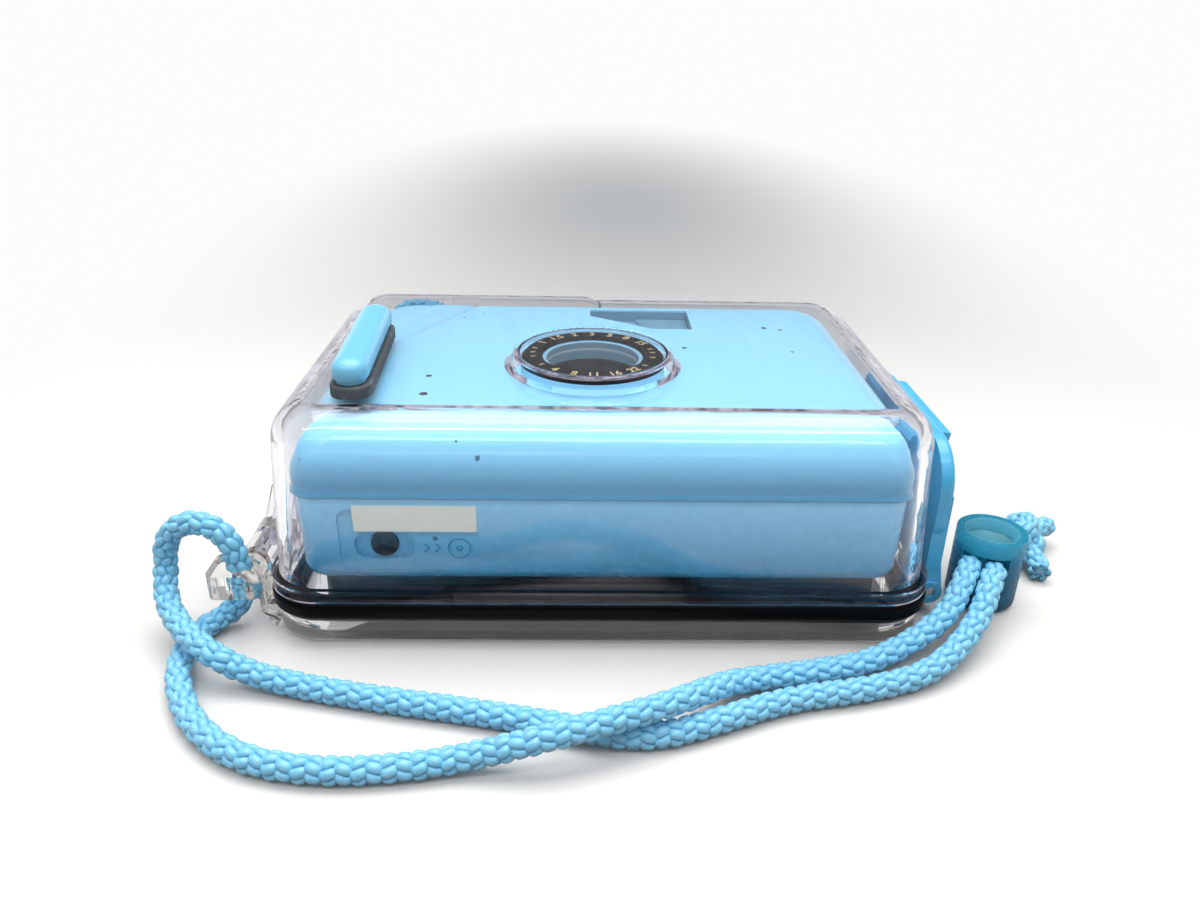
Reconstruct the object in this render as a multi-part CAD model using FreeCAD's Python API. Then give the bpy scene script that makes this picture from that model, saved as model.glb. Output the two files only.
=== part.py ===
import FreeCAD, Part
import math
import os
from FreeCAD import Vector

os.makedirs("parts", exist_ok=True)

# Pocket film camera in a clear splash-proof case, lying on its back.
# +Z points out of the lens, +Y to the camera's top, +X to its cassette side.
# Millimetres. The origin is the centre of the flat back, on the surface it lies on.

# Clear case, outline and heights
case_half_x = 60.0
case_half_y = 38.0
case_corner = 9.5
case_height = 43.8
base_height = 5.7
seal_height = 3.6
base_wall = 3.8
base_floor = 1.8
base_edge_radius = 2.4
base_inset = 0.6
flange_thickness = 2.5
lid_wall = 1.7
roof_thickness = 1.5
lid_inset = 0.9
lid_taper_x = 2.2
lid_taper_y = 0.5
lid_edge_radius = 7.0
lid_far_radius = 3.0
rib_inset_x = 24.0
rib_inset_y = 12.0
rib_half = 1.0

lid_bottom = base_height + seal_height
roof_inner = case_height - roof_thickness
lid_half_x = case_half_x - lid_inset
lid_half_y = case_half_y - lid_inset

# Shoulder on the far wall, over the shutter button and the drive roller
shoulder_inset = 6.0
shoulder_right = 2.0
shoulder_rise = 1.2
shoulder_corner = 6.5
shoulder_wall = 1.5

shoulder_left = -case_half_x + shoulder_inset
shoulder_out = case_half_y + shoulder_rise
shoulder_inner = shoulder_out - shoulder_wall

# Rubber seal between the two half cases
seal_width = 4.2
seal_proud = 0.25
seal_edge_radius = 1.1
seal_tongue_width = 1.2
seal_tongue_depth = 0.9
groove_clearance = 0.1

# Hinge on the left, latch on the right
hinge_reach = 5.0
hinge_radius = 2.8
hinge_pin_radius = 1.2
hinge_clearance = 0.06
knuckle_length = 8.0
ear_length = 4.0
knuckle_gap = 0.3
hinge_inset_near = 18.5
hinge_inset_far = 16.0
hinge_rib_drop = 18.8
hinge_rib_thickness = 1.6

hinge_x = -case_half_x - hinge_reach
hinge_z = lid_bottom
hinge_places = (-case_half_y + hinge_inset_near, case_half_y - hinge_inset_far)
hinge_rib_top = case_height - hinge_rib_drop

latch_gap = 0.8
latch_inset_near = 10.5
latch_inset_far = 18.0
latch_drop = 9.3
latch_rise = 6.3
latch_thickness = 2.8
latch_corner = 9.0
latch_arm_width = 7.0
latch_pivot_reach = 1.6
latch_pivot_drop = 0.5
latch_pivot_radius = 2.3
latch_pin_radius = 1.0
hook_width = 10.0
hook_inset_near = 12.5
hook_inset_far = 12.0
hook_height = 5.5
hook_reach = 2.0
catch_height = 4.5
catch_proud = 0.7
catch_gap = 0.3
tab_overlap = 2.0

latch_near = -case_half_y + latch_inset_near
latch_far = case_half_y - latch_inset_far
latch_top = case_height - latch_drop
latch_inner_x = case_half_x + latch_gap
latch_outer_x = latch_inner_x + latch_thickness
latch_pivot_x = latch_inner_x + latch_pivot_reach
latch_pivot_z = base_height - latch_pivot_drop
latch_bottom = latch_pivot_z + latch_rise
hook_places = (latch_near + hook_inset_near, latch_far - hook_inset_far)

# Strap lug
lug_reach = 9.6
lug_inset = 1.4
lug_width = 8.2
lug_drop = 0.3
lug_height = 4.7
lug_hole_reach = 4.6
lug_hole_radius = 2.35
lug_sweep = 4.85
lug_corner = 1.6

lug_left = -case_half_x - lug_reach
lug_near = -case_half_y + lug_inset
lug_far = lug_near + lug_width
lug_bottom = lid_bottom - lug_drop
lug_top = lug_bottom + lug_height
lug_hole_x = -case_half_x - lug_hole_reach
lug_hole_y = 0.5 * (lug_near + lug_far)

# Lens port and window
lens_x = -2.0
lens_y = -8.7
port_rise = 2.7
port_radius = 15.0
port_flare = 1.6
port_wall = 1.3
port_inner_flare = 1.2
window_thickness = 0.8
window_drop = 0.1
window_rebate = 0.4

port_top = case_height + port_rise
port_bore = port_radius - port_wall
window_radius = port_bore + window_rebate
window_bottom = port_top - window_drop - window_thickness

# Shutter trigger on the front face
trigger_inset = 14.9
trigger_pivot_inset = 33.4
trigger_near_inset = 10.0
trigger_tail = 3.8
trigger_width = 6.3
trigger_rest_turn = 3.0
trigger_lift = 0.9
trigger_height = 3.5
trigger_crown = 1.7
trigger_foot_length = 9.0
trigger_foot_inset = 0.5
trigger_groove = 0.45
pad_height = 2.1
pad_margin = 0.5
pad_edge_radius = 0.4
shaft_radius = 1.8
shaft_clearance = 0.05
arm_thickness = 0.9
arm_hub_radius = 4.0
arm_width = 6.0
arm_roof_gap = 0.3
arm_wall_gap = 0.7
arm_tip_offset = 1.0
nib_radius = 1.4
nib_height = 0.55
seal_ring_minor = 0.5
gland_depth = 1.3

trigger_x = -case_half_x + trigger_inset
trigger_pivot_y = case_half_y - trigger_pivot_inset
trigger_near = -case_half_y + trigger_near_inset
trigger_far = trigger_pivot_y + trigger_tail
pad_top = case_height + pad_height
lever_bottom = pad_top + trigger_lift
lever_top = lever_bottom + trigger_height
arm_top = roof_inner - arm_roof_gap
arm_bottom = arm_top - arm_thickness
arm_flange_far = shoulder_inner - arm_wall_gap
arm_flange_near = arm_flange_far - arm_thickness

# Inner camera, outer form
camera_gap_x = 6.0
camera_gap_y = 3.5
camera_roof_gap = 3.0
camera_corner = 5.0
front_cover_height = 12.1
door_gap = 1.4
door_height = 8.8
camera_wall = 1.8
front_radius_left = 9.2
front_radius_right = 7.6
front_radius_near = 8.6
front_radius_far = 0.7
parting_step = 0.3
body_taper_x = 2.0
body_taper_y = 1.0
body_edge_radius = 2.6
door_inset = 3.4
door_edge_radius = 2.4
door_wall = 1.5

camera_half_x = case_half_x - camera_gap_x
camera_half_y = case_half_y - camera_gap_y
camera_front = case_height - camera_roof_gap
camera_parting = camera_front - front_cover_height
door_back = base_floor + door_gap
camera_back = door_back + door_height
door_half_x = camera_half_x - door_inset
door_half_y = camera_half_y - 0.7 * door_inset

# Camera details
finder_offset = 0.0
finder_width = 22.0
finder_inset = 2.5
finder_length = 13.5
finder_slant = 4.5
finder_depth = 2.6
finder_glass_gap = 0.25
finder_glass_start = 10.0
finder_glass_thickness = 0.6
panel_inset = 8.0
panel_width = 24.0
panel_rise = 2.2
panel_drop = 2.3
panel_depth = 0.35
panel_corner = 2.2
thumb_inset = 2.5
thumb_width = 10.5
thumb_rise = 1.8
thumb_height = 5.8
thumb_depth = 1.3
release_inset = 5.2
release_radius = 2.4
release_length = 5.0
release_travel = 1.2
label_inset = 2.8
label_height = 5.2
label_overlap = 0.8
label_thickness = 0.12

finder_left = lens_x + finder_offset
finder_right = finder_left + finder_width
finder_far = camera_half_y - finder_inset
finder_near = finder_far - finder_length
panel_left = -camera_half_x + panel_inset
panel_right = panel_left + panel_width
panel_low = camera_back + panel_rise
panel_high = camera_parting - panel_drop
thumb_left = panel_left + thumb_inset
thumb_right = thumb_left + thumb_width
thumb_low = panel_low + thumb_rise
thumb_high = thumb_low + thumb_height
release_x = thumb_left + release_inset
release_z = 0.5 * (thumb_low + thumb_high)
label_left = panel_left + label_inset
label_right = panel_right
label_high = panel_high + label_overlap
label_low = label_high - label_height

# Lens and shutter
ring_port_gap = 0.4
ring_width = 3.9
ring_drop = 1.3
ring_bevel = 0.6
cone_drop = 0.8
cone_step = 1.6
glass_inset = 1.6
glass_gap = 0.1
glass_rise = 1.4
glass_edge = 1.2
mount_wall = 1.2
mount_foot_width = 3.4
mount_foot = 1.2
mount_rise = 1.4
light_hole = 2.2
rear_lens_radius = 5.2
blade_thickness = 0.4
blade_overlap = 1.4
blade_pivot_offset = 10.0
blade_pin_radius = 1.0
blade_drop = 1.1

ring_outer = port_bore - ring_port_gap
ring_inner = ring_outer - ring_width
ring_top = port_top - ring_drop
cone_top = ring_top - cone_drop
glass_radius = ring_inner - glass_inset
cone_low_radius = glass_radius + glass_gap
mount_radius = ring_inner + mount_wall
mount_foot_radius = mount_radius + mount_foot_width
blade_radius = light_hole + blade_overlap

# Film transport
chassis_gap_x = 6.0
chassis_gap_y = 10.5
chassis_rise = 5.3
chassis_drop = 6.3
gate_x = 36.0
gate_y = 24.0
gate_wall = 3.0
chamber_wall = 1.2
spool_inset = 13.7
spool_drop = 8.7
spool_near_gap = 3.7
spool_radius = 6.5
spool_chamber = 8.0
spool_end_gap = 2.0
journal_radius = 2.0
journal_clearance = 0.06
wheel_radius = 8.0
wheel_thickness = 1.8
wheel_gap = 0.5
wheel_grooves = 28
wheel_groove_radius = 0.35
roller_radius = 4.0
roller_gap = 0.08
roller_angle = 100.0
sprocket_offset = 14.3
sprocket_rise = 2.1
sprocket_radius = 5.2
sprocket_core = 3.0
sprocket_tooth = 0.7
sprocket_teeth = 8
sprocket_row = 14.1
sprocket_half = 17.5
sprocket_journal = 6.0
cassette_inset = 19.0
cassette_chamber = 13.0
rewind_radius = 6.6
rewind_recess = 2.4
rewind_flush = 0.2
rewind_fork = 2.8
rewind_groove = 1.2
rewind_groove_half = 1.6

chassis_half_x = camera_half_x - chassis_gap_x
chassis_half_y = camera_half_y - chassis_gap_y
chassis_back = door_back + chassis_rise
chassis_front = camera_front - chassis_drop
chassis_near = lens_y - 0.5 * gate_y - gate_wall
mount_top = chassis_front + mount_foot + mount_rise
spool_x = -camera_half_x + spool_inset
spool_z = camera_parting - spool_drop
spool_near = chassis_near + spool_near_gap
spool_far = chassis_half_y - spool_end_gap
wheel_near = camera_half_y + wheel_gap
wheel_far = wheel_near + wheel_thickness
roller_reach = wheel_radius + roller_radius + roller_gap
roller_x = spool_x + roller_reach * math.cos(math.radians(roller_angle))
roller_z = spool_z + roller_reach * math.sin(math.radians(roller_angle))
sprocket_x = spool_x + sprocket_offset
sprocket_z = camera_back + sprocket_rise
cassette_x = camera_half_x - cassette_inset
cassette_z = spool_z

# Shutter button
button_inset = 24.5
button_rise = 4.3
button_radius = 3.2
button_proud = 0.8
button_flange = 0.9
button_flange_width = 1.0
button_clearance = 0.06
button_travel = 1.27
button_notch_gap = 0.5

button_x = -camera_half_x + button_inset
button_z = camera_parting + button_rise
arm_tip_x = button_x - arm_tip_offset

# Advance knob on the far wall
knob_radius = 8.2
knob_gap = 0.4
knob_height = 5.6
knob_cap = 1.5
knob_edge_radius = 1.0
knob_grooves = 20
knob_groove_radius = 0.9
knob_groove_offset = 0.35
boss_radius = 5.0
boss_height = 1.8
boss_clearance = 0.4

# Screws
screw_radius = 1.2
screw_head_radius = 2.3
screw_head = 1.0
screw_length = 7.0
screw_inset_x = 9.0
screw_inset_y = 7.5
recess_corner = 0.4
screw_boss_radius = 2.8

boss_x = camera_half_x - screw_inset_x
boss_y = camera_half_y - screw_inset_y

# Wrist cord and its lock
cord_radius = 2.1
lock_reach = 15.1
lock_inset = 17.0
lock_height = 15.2
lock_radius = 6.5
lock_bore = 4.9
lock_bottom = 1.4
lock_edge_radius = 1.6
lock_slot_width = 9.0
lock_slot_height = 4.8
lock_slot_centre = 10.0
cord_turn = 60.0
plunger_clearance = 0.08
plunger_top = 14.4
plunger_foot = 3.6
plunger_slot_width = 7.0
plunger_slot_height = 5.0
plunger_travel = 1.6
knot_radius = 5.0
tail_gap = 0.2
tail_length = 8.0
tail_sink = 1.0

lock_x = case_half_x + lock_reach
lock_y = -case_half_y + lock_inset
lug_place = Vector(lug_hole_x, lug_hole_y, 0)
near_side = Vector(0, -case_half_y, 0)
lock_place = Vector(lock_x, lock_y, 0)
knot_centre = lock_place + Vector(13.1, 14.8, 5.2)


# General forms
def save(name, shape):
    shape.exportStep("parts/" + name + ".step")


def box(x0, x1, y0, y1, z0, z1):
    return Part.makeBox(x1 - x0, y1 - y0, z1 - z0, Vector(x0, y0, z0))


def rod(x, y, z, radius, length, axis=Vector(0, 0, 1)):
    return Part.makeCylinder(radius, length, Vector(x, y, z), axis)


def rod_y(x, y0, y1, z, radius):
    return rod(x, y0, z, radius, y1 - y0, Vector(0, 1, 0))


def outline(x0, x1, y0, y1, corner, z):
    arcs = []
    centres = ((x1 - corner, y0 + corner, -90), (x1 - corner, y1 - corner, 0),
               (x0 + corner, y1 - corner, 90), (x0 + corner, y0 + corner, 180))
    for cx, cy, start in centres:
        points = []
        for turn in (0, 45, 90):
            angle = math.radians(start + turn)
            points.append(Vector(cx + corner * math.cos(angle), cy + corner * math.sin(angle), z))
        arcs.append(points)
    edges = []
    for index, points in enumerate(arcs):
        edges.append(Part.Arc(*points).toShape())
        edges.append(Part.makeLine(points[2], arcs[(index + 1) % 4][0]))
    return Part.Wire(edges)


def slab(x0, x1, y0, y1, corner, z0, z1):
    return Part.Face(outline(x0, x1, y0, y1, corner, z0)).extrude(Vector(0, 0, z1 - z0))


def crowned(sides, corner, z0, z1, radii, corner_drop, taper=(0.0, 0.0)):
    # Straight walls that lean in by the taper, then an edge rounded by its own radius on each side
    left, right, near, far = sides
    height = max(radii)
    steps = 5
    levels = [(z0, 0.0)]
    for step in range(steps + 1):
        angle = 0.5 * math.pi * step / steps
        levels.append((z1 - height + height * math.sin(angle), 1.0 - math.cos(angle)))
    wires = []
    for z, turn in levels:
        lean_x = taper[0] * (z - z0) / (z1 - z0)
        lean_y = taper[1] * (z - z0) / (z1 - z0)
        wires.append(outline(left + lean_x + radii[0] * turn, right - lean_x - radii[1] * turn,
                             near + lean_y + radii[2] * turn, far - lean_y - radii[3] * turn,
                             corner - corner_drop * turn, z))
    walls = Part.makeLoft(wires[:2], True, True)
    edge = Part.makeLoft(wires[1:], True, False)
    return walls.fuse(edge)


def upside_down(shape, z0, z1):
    return shape.mirror(Vector(0, 0, 0.5 * (z0 + z1)), Vector(0, 0, 1))


def profile_y(points, y0, y1):
    # A closed outline given as (x, z) pairs, carried along Y
    wire = Part.makePolygon([Vector(x, y0, z) for x, z in points + [points[0]]])
    return Part.Face(wire).extrude(Vector(0, y1 - y0, 0))


def revolved(points, x, y):
    # A closed outline given as (radius, z) pairs, turned about a vertical axis
    wire = Part.makePolygon([Vector(x + r, y, z) for r, z in points + [points[0]]])
    return Part.Face(wire).revolve(Vector(x, y, 0), Vector(0, 0, 1), 360)


def level_edges(shape, z):
    return [edge for edge in shape.Edges if abs(edge.BoundBox.ZMin - z) < 0.01 and abs(edge.BoundBox.ZMax - z) < 0.01]


def soft_topped(sides, corner, z0, z1, radius, far_radius, taper):
    # Straight walls leaning in by the taper; the top edge is rounded, differently along the far side
    left, right, near, far = sides
    low = outline(left, right, near, far, corner, z0)
    top = outline(left + taper[0], right - taper[0], near + taper[1], far - taper[1], corner, z1)
    blank = Part.makeLoft([low, top], True, True)
    far_limit = far - taper[1] - 0.5 * corner
    document = FreeCAD.newDocument("rounding")
    base = document.addObject("Part::Feature", "base")
    base.Shape = blank
    rounding = document.addObject("Part::Fillet", "rounding")
    rounding.Base = base
    sizes = []
    for index, edge in enumerate(blank.Edges):
        if abs(edge.BoundBox.ZMin - z1) < 0.001:
            ends = [edge.valueAt(place).y > far_limit for place in (edge.FirstParameter, edge.LastParameter)]
            sizes.append((index + 1, far_radius if ends[0] else radius, far_radius if ends[1] else radius))
    rounding.Edges = sizes
    document.recompute()
    shape = rounding.Shape.copy()
    FreeCAD.closeDocument(document.Name)
    return shape


def joined(shapes):
    whole = shapes[0].multiFuse(shapes[1:])
    return whole.removeSplitter()


# Clear base
def base_outer(z0, z1, inset):
    form = slab(-case_half_x + inset, case_half_x - inset, -case_half_y + inset, case_half_y - inset,
                case_corner - inset, z0, z1)
    return form.makeFillet(base_edge_radius, level_edges(form, z0))


def seal_centre_inset():
    return base_inset + 0.5 * base_wall


def groove_ring(width, z0, z1):
    middle = seal_centre_inset()
    rings = []
    for inset in (middle - 0.5 * width, middle + 0.5 * width):
        rings.append(slab(-case_half_x + inset, case_half_x - inset, -case_half_y + inset,
                          case_half_y - inset, case_corner - inset, z0, z1))
    return rings[0].cut(rings[1])


def hinge_ears():
    shapes = []
    left = -case_half_x + base_inset
    for middle in hinge_places:
        for side in (-1, 1):
            start = middle + side * (0.5 * knuckle_length + knuckle_gap)
            y0 = min(start, start + side * ear_length)
            shapes.append(rod_y(hinge_x, y0, y0 + ear_length, hinge_z, hinge_radius))
            arm = [(left + 1.0, 0.8), (left + 1.0, base_height - 0.2), (left - 1.6, base_height - 0.2),
                   (hinge_x + hinge_radius, hinge_z), (hinge_x - hinge_radius, hinge_z),
                   (hinge_x - 0.8 * hinge_radius, hinge_z - 2.0), (left - 2.4, 0.8)]
            shapes.append(profile_y(arm, y0, y0 + ear_length))
    return shapes


def strap_lug():
    block = slab(lug_left, -case_half_x - 0.7, lug_near, lug_far, lug_corner, lug_bottom, lug_top)
    swept = rod_y(hinge_x, lug_near - 1.0, lug_far + 1.0, hinge_z, lug_sweep)
    block = block.common(swept.fuse(box(lug_left - 1.0, hinge_x, lug_near - 1.0, lug_far + 1.0, lug_bottom, lug_top)))
    left = -case_half_x + base_inset
    foot = [(left + 1.0, 0.8), (left + 1.0, base_height - 0.2), (-case_half_x - 0.7, base_height - 0.2),
            (-case_half_x - 0.7, lug_bottom + 1.0), (-case_half_x - 1.9, lug_bottom + 1.0),
            (-case_half_x - 1.9, base_height - 1.5), (left - 0.2, 0.8)]
    return [block, profile_y(foot, lug_near + 4.0, lug_far)]


def latch_ears():
    shapes = []
    right = case_half_x - base_inset
    for start in (latch_near + latch_arm_width + knuckle_gap, latch_far - latch_arm_width - knuckle_gap - ear_length):
        arm = [(right - 1.0, 0.8), (right - 1.0, base_height - 0.2), (right + 0.8, base_height - 0.2),
               (latch_pivot_x, latch_pivot_z + latch_pivot_radius - 2.1),
               (latch_pivot_x + latch_pivot_radius, latch_pivot_z), (right + 1.6, 0.8)]
        shapes.append(profile_y(arm, start, start + ear_length))
        shapes.append(rod_y(latch_pivot_x, start, start + ear_length, latch_pivot_z, 0.85 * latch_pivot_radius))
    return shapes


def back_case():
    outer = base_outer(0.0, base_height, base_inset)
    inset = base_inset + base_wall
    pocket = slab(-case_half_x + inset, case_half_x - inset, -case_half_y + inset, case_half_y - inset,
                  case_corner - 0.5 * base_wall, base_floor, base_height + 1.0)
    tray = outer.cut(pocket)
    groove_width = seal_tongue_width + 2.0 * groove_clearance
    tray = tray.cut(groove_ring(groove_width, base_height - seal_tongue_depth - groove_clearance, base_height + 1.0))
    ribs = []
    rib_x = case_half_x - rib_inset_x
    rib_y = case_half_y - rib_inset_y
    for x in (-rib_x, rib_x):
        ribs.append(box(x - rib_half, x + rib_half, -rib_y, rib_y, base_floor - 0.2, door_back))
    whole = joined([tray] + ribs + hinge_ears() + strap_lug() + latch_ears())
    holes = [rod(lug_hole_x, lug_hole_y, lug_bottom - 2.0, lug_hole_radius, lug_top - lug_bottom + 4.0)]
    for middle in hinge_places:
        half = 0.5 * knuckle_length + knuckle_gap + ear_length + 1.0
        holes.append(rod_y(hinge_x, middle - half, middle + half, hinge_z, hinge_pin_radius))
    holes.append(rod_y(latch_pivot_x, latch_near - 1.0, latch_far + 1.0, latch_pivot_z, latch_pin_radius))
    return whole.cut(Part.makeCompound(holes))


def seal_gasket():
    z0, z1 = base_height, lid_bottom
    out = seal_proud
    outer = slab(-case_half_x - out, case_half_x + out, -case_half_y - out, case_half_y + out,
                 case_corner + out, z0, z1)
    rim = [edge for edge in outer.Edges if abs(edge.BoundBox.ZLength) < 0.01]
    outer = outer.makeFillet(seal_edge_radius, rim)
    inset = seal_width
    inner = slab(-case_half_x + inset, case_half_x - inset, -case_half_y + inset, case_half_y - inset,
                 case_corner - 0.5 * base_wall, z0 - 1.0, z1 + 1.0)
    tongue = groove_ring(seal_tongue_width, z0 - seal_tongue_depth, z0 + 0.5)
    return joined([outer.cut(inner), tongue])


def hinge_pins():
    pins = []
    half = 0.5 * knuckle_length + knuckle_gap + ear_length
    for middle in hinge_places:
        pins.append(rod_y(hinge_x, middle - half, middle + half, hinge_z, hinge_pin_radius))
    return Part.makeCompound(pins)


# Clear lid
def lid_form(shrink, z0, z1):
    # The outer skin for no shrink, the inner skin for a shrink of one wall
    sides = (-lid_half_x + shrink, lid_half_x - shrink, -lid_half_y + shrink, lid_half_y - shrink)
    return soft_topped(sides, case_corner - shrink, z0, z1, lid_edge_radius - shrink,
                       lid_far_radius - 0.9 * shrink, (lid_taper_x, lid_taper_y))


def shoulder(inset, z0, z1):
    form = slab(shoulder_left + inset, shoulder_right - inset, 0.5 * case_half_y, shoulder_out - inset,
                shoulder_corner - inset, z0, z1)
    return form.makeFillet(lid_far_radius - inset, level_edges(form, z1))


def lid_knuckles():
    shapes = []
    inner = -lid_half_x + 0.6
    for middle in hinge_places:
        y0 = middle - 0.5 * knuckle_length
        y1 = middle + 0.5 * knuckle_length
        shapes.append(rod_y(hinge_x, y0, y1, hinge_z, hinge_radius))
        web = [(hinge_x, hinge_z + 0.4), (-case_half_x + 0.4, lid_bottom),
               (-case_half_x + 0.4, lid_bottom + flange_thickness), (hinge_x, hinge_z + hinge_radius)]
        shapes.append(profile_y(web, y0, y1))
        for edge in (y0, y1 - hinge_rib_thickness):
            rib = [(hinge_x + 1.0, hinge_z + 1.8), (inner, lid_bottom + 0.4), (inner, hinge_rib_top),
                   (inner - 1.6, hinge_rib_top)]
            shapes.append(profile_y(rib, edge, edge + hinge_rib_thickness))
    return shapes


def lid_catches():
    shapes = []
    top = latch_top - hook_height - catch_gap
    wall_x = lid_half_x - lid_taper_x * (top - lid_bottom) / (case_height - lid_bottom)
    for middle in hook_places:
        half = 0.5 * hook_width
        ridge = [(wall_x - 0.8, top - catch_height), (wall_x + 0.2, top - catch_height),
                 (wall_x + catch_proud, top - 0.8), (wall_x + catch_proud, top), (wall_x - 0.8, top)]
        shapes.append(profile_y(ridge, middle - half, middle + half))
    return shapes


def port_outer():
    return revolved([(0, roof_inner), (port_radius + port_flare, roof_inner), (port_radius + port_flare, case_height),
                     (port_radius + 0.35 * port_flare, case_height + 0.25 * (port_top - case_height)),
                     (port_radius, port_top - 0.4), (port_radius - 0.4, port_top), (0, port_top)], lens_x, lens_y)


def port_inner():
    return revolved([(0, roof_inner - 1.0), (port_bore + port_inner_flare, roof_inner - 1.0),
                     (port_bore + port_inner_flare, roof_inner), (port_bore, window_bottom),
                     (window_radius, window_bottom), (window_radius, port_top + 1.0), (0, port_top + 1.0)],
                    lens_x, lens_y)


def front_case():
    outer = lid_form(0.0, lid_bottom, case_height)
    bulge = shoulder(0.0, lid_bottom, case_height)
    flange = slab(-case_half_x, case_half_x, -case_half_y, case_half_y, case_corner,
                  lid_bottom, lid_bottom + flange_thickness)
    drive_boss = rod_y(roller_x, shoulder_out - 0.5, shoulder_out + boss_height, roller_z, boss_radius)
    solid = joined([outer, bulge, flange, port_outer(), drive_boss] + lid_knuckles() + lid_catches())
    hollow = lid_form(lid_wall, lid_bottom - 1.0, roof_inner)
    pocket = shoulder(shoulder_wall, lid_bottom - 1.0, roof_inner)
    holes = [port_inner()]
    for middle in hinge_places:
        half = 0.5 * knuckle_length + 1.0
        holes.append(rod_y(hinge_x, middle - half, middle + half, hinge_z, hinge_pin_radius + hinge_clearance))
    holes.append(rod(trigger_x, trigger_pivot_y, roof_inner - 1.0, shaft_radius + shaft_clearance, roof_thickness + 2.0))
    far_end = shoulder_out + boss_height
    holes.append(rod_y(roller_x, shoulder_inner - 1.0, far_end + 1.0, roller_z, shaft_radius + shaft_clearance))
    gland = seal_ring_minor * 2.0 + shaft_radius + 0.1
    holes.append(rod_y(roller_x, far_end - gland_depth, far_end + 1.0, roller_z, gland))
    shell = solid.cut(hollow).cut(pocket)
    return shell.cut(Part.makeCompound(holes))


def port_window():
    return rod(lens_x, lens_y, window_bottom, window_radius, window_thickness)


# Trigger, its seal and the arm inside the lid
def pill(width, near, far, z0, z1):
    half = 0.5 * width
    return slab(trigger_x - half, trigger_x + half, near, far, half - 0.02, z0, z1)


def rest_turned(shape):
    # Turned about the trigger's pivot to where the lever lies at rest
    shape.rotate(Vector(trigger_x, trigger_pivot_y, 0), Vector(0, 0, 1), trigger_rest_turn)
    return shape


def trigger_pad():
    pad = pill(trigger_width + 2.0 * pad_margin, trigger_near - pad_margin, trigger_far + pad_margin,
               case_height, pad_top)
    pad = pad.makeFillet(pad_edge_radius, level_edges(pad, pad_top))
    bore = rod(trigger_x, trigger_pivot_y, case_height - 1.0, shaft_radius + shaft_clearance, pad_height + 2.0)
    gland = rod(trigger_x, trigger_pivot_y, pad_top - gland_depth, shaft_radius + 2.0 * seal_ring_minor + 0.1,
                gland_depth + 1.0)
    return rest_turned(pad.cut(bore).cut(gland))


def shaft_seal(x, y, z, axis):
    major = shaft_radius + seal_ring_minor + 0.04
    return Part.makeTorus(major, seal_ring_minor, Vector(x, y, z), axis)


def trigger_lever():
    bar = pill(trigger_width, trigger_near, trigger_far, lever_bottom, lever_top)
    bar = bar.makeFillet(trigger_crown, level_edges(bar, lever_top))
    foot_half = 0.5 * trigger_width - trigger_foot_inset
    foot = slab(trigger_x - foot_half, trigger_x + foot_half, trigger_near + trigger_foot_inset,
                trigger_near + trigger_foot_length, foot_half - 0.3, pad_top + 0.15, lever_bottom + 1.0)
    neck = box(trigger_x - trigger_width, trigger_x + trigger_width, trigger_near - 1.0,
               trigger_near + trigger_foot_length + 1.0, lever_bottom + 0.2, lever_bottom + 0.2 + trigger_groove)
    core = slab(trigger_x - foot_half + 0.8, trigger_x + foot_half - 0.8, trigger_near + trigger_foot_inset + 0.8,
                trigger_far - 1.0, foot_half - 1.2, lever_bottom, lever_bottom + 1.2)
    body = joined([joined([bar, foot]).cut(neck), core])
    hub = rod(trigger_x, trigger_pivot_y, pad_top + 0.1, 0.42 * trigger_width, lever_bottom - pad_top + 0.4)
    hole = rod(trigger_x, trigger_pivot_y, pad_top - 1.0, shaft_radius, lever_top - pad_top)
    return rest_turned(joined([body, hub]).cut(hole))


def trigger_shaft():
    return rod(trigger_x, trigger_pivot_y, arm_bottom, shaft_radius, lever_top - 1.0 - arm_bottom)


def trigger_arm():
    hub = rod(trigger_x, trigger_pivot_y, arm_bottom, arm_hub_radius, arm_thickness)
    start = Vector(trigger_x, trigger_pivot_y, arm_bottom)
    tip_y = arm_flange_far
    way = Vector(arm_tip_x, tip_y, arm_bottom) - start
    side = Vector(-way.y, way.x, 0).normalize() * 0.5 * arm_width
    run = 0.5 * arm_width
    corners = [start + side, start - side, Vector(arm_tip_x + run, tip_y - 5.0, arm_bottom),
               Vector(arm_tip_x + run, tip_y, arm_bottom), Vector(arm_tip_x - run, tip_y, arm_bottom)]
    strip = Part.Face(Part.makePolygon(corners + corners[:1])).extrude(Vector(0, 0, arm_thickness))
    flange = box(arm_tip_x - run, arm_tip_x + run, arm_flange_near, arm_flange_far, button_z - 3.2, arm_top)
    nib = rod_y(arm_tip_x, arm_flange_near - nib_height, arm_flange_near, button_z, nib_radius)
    hole = rod(trigger_x, trigger_pivot_y, arm_bottom - 1.0, shaft_radius, arm_thickness + 2.0)
    return joined([hub, strip, flange, nib]).cut(hole)


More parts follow.
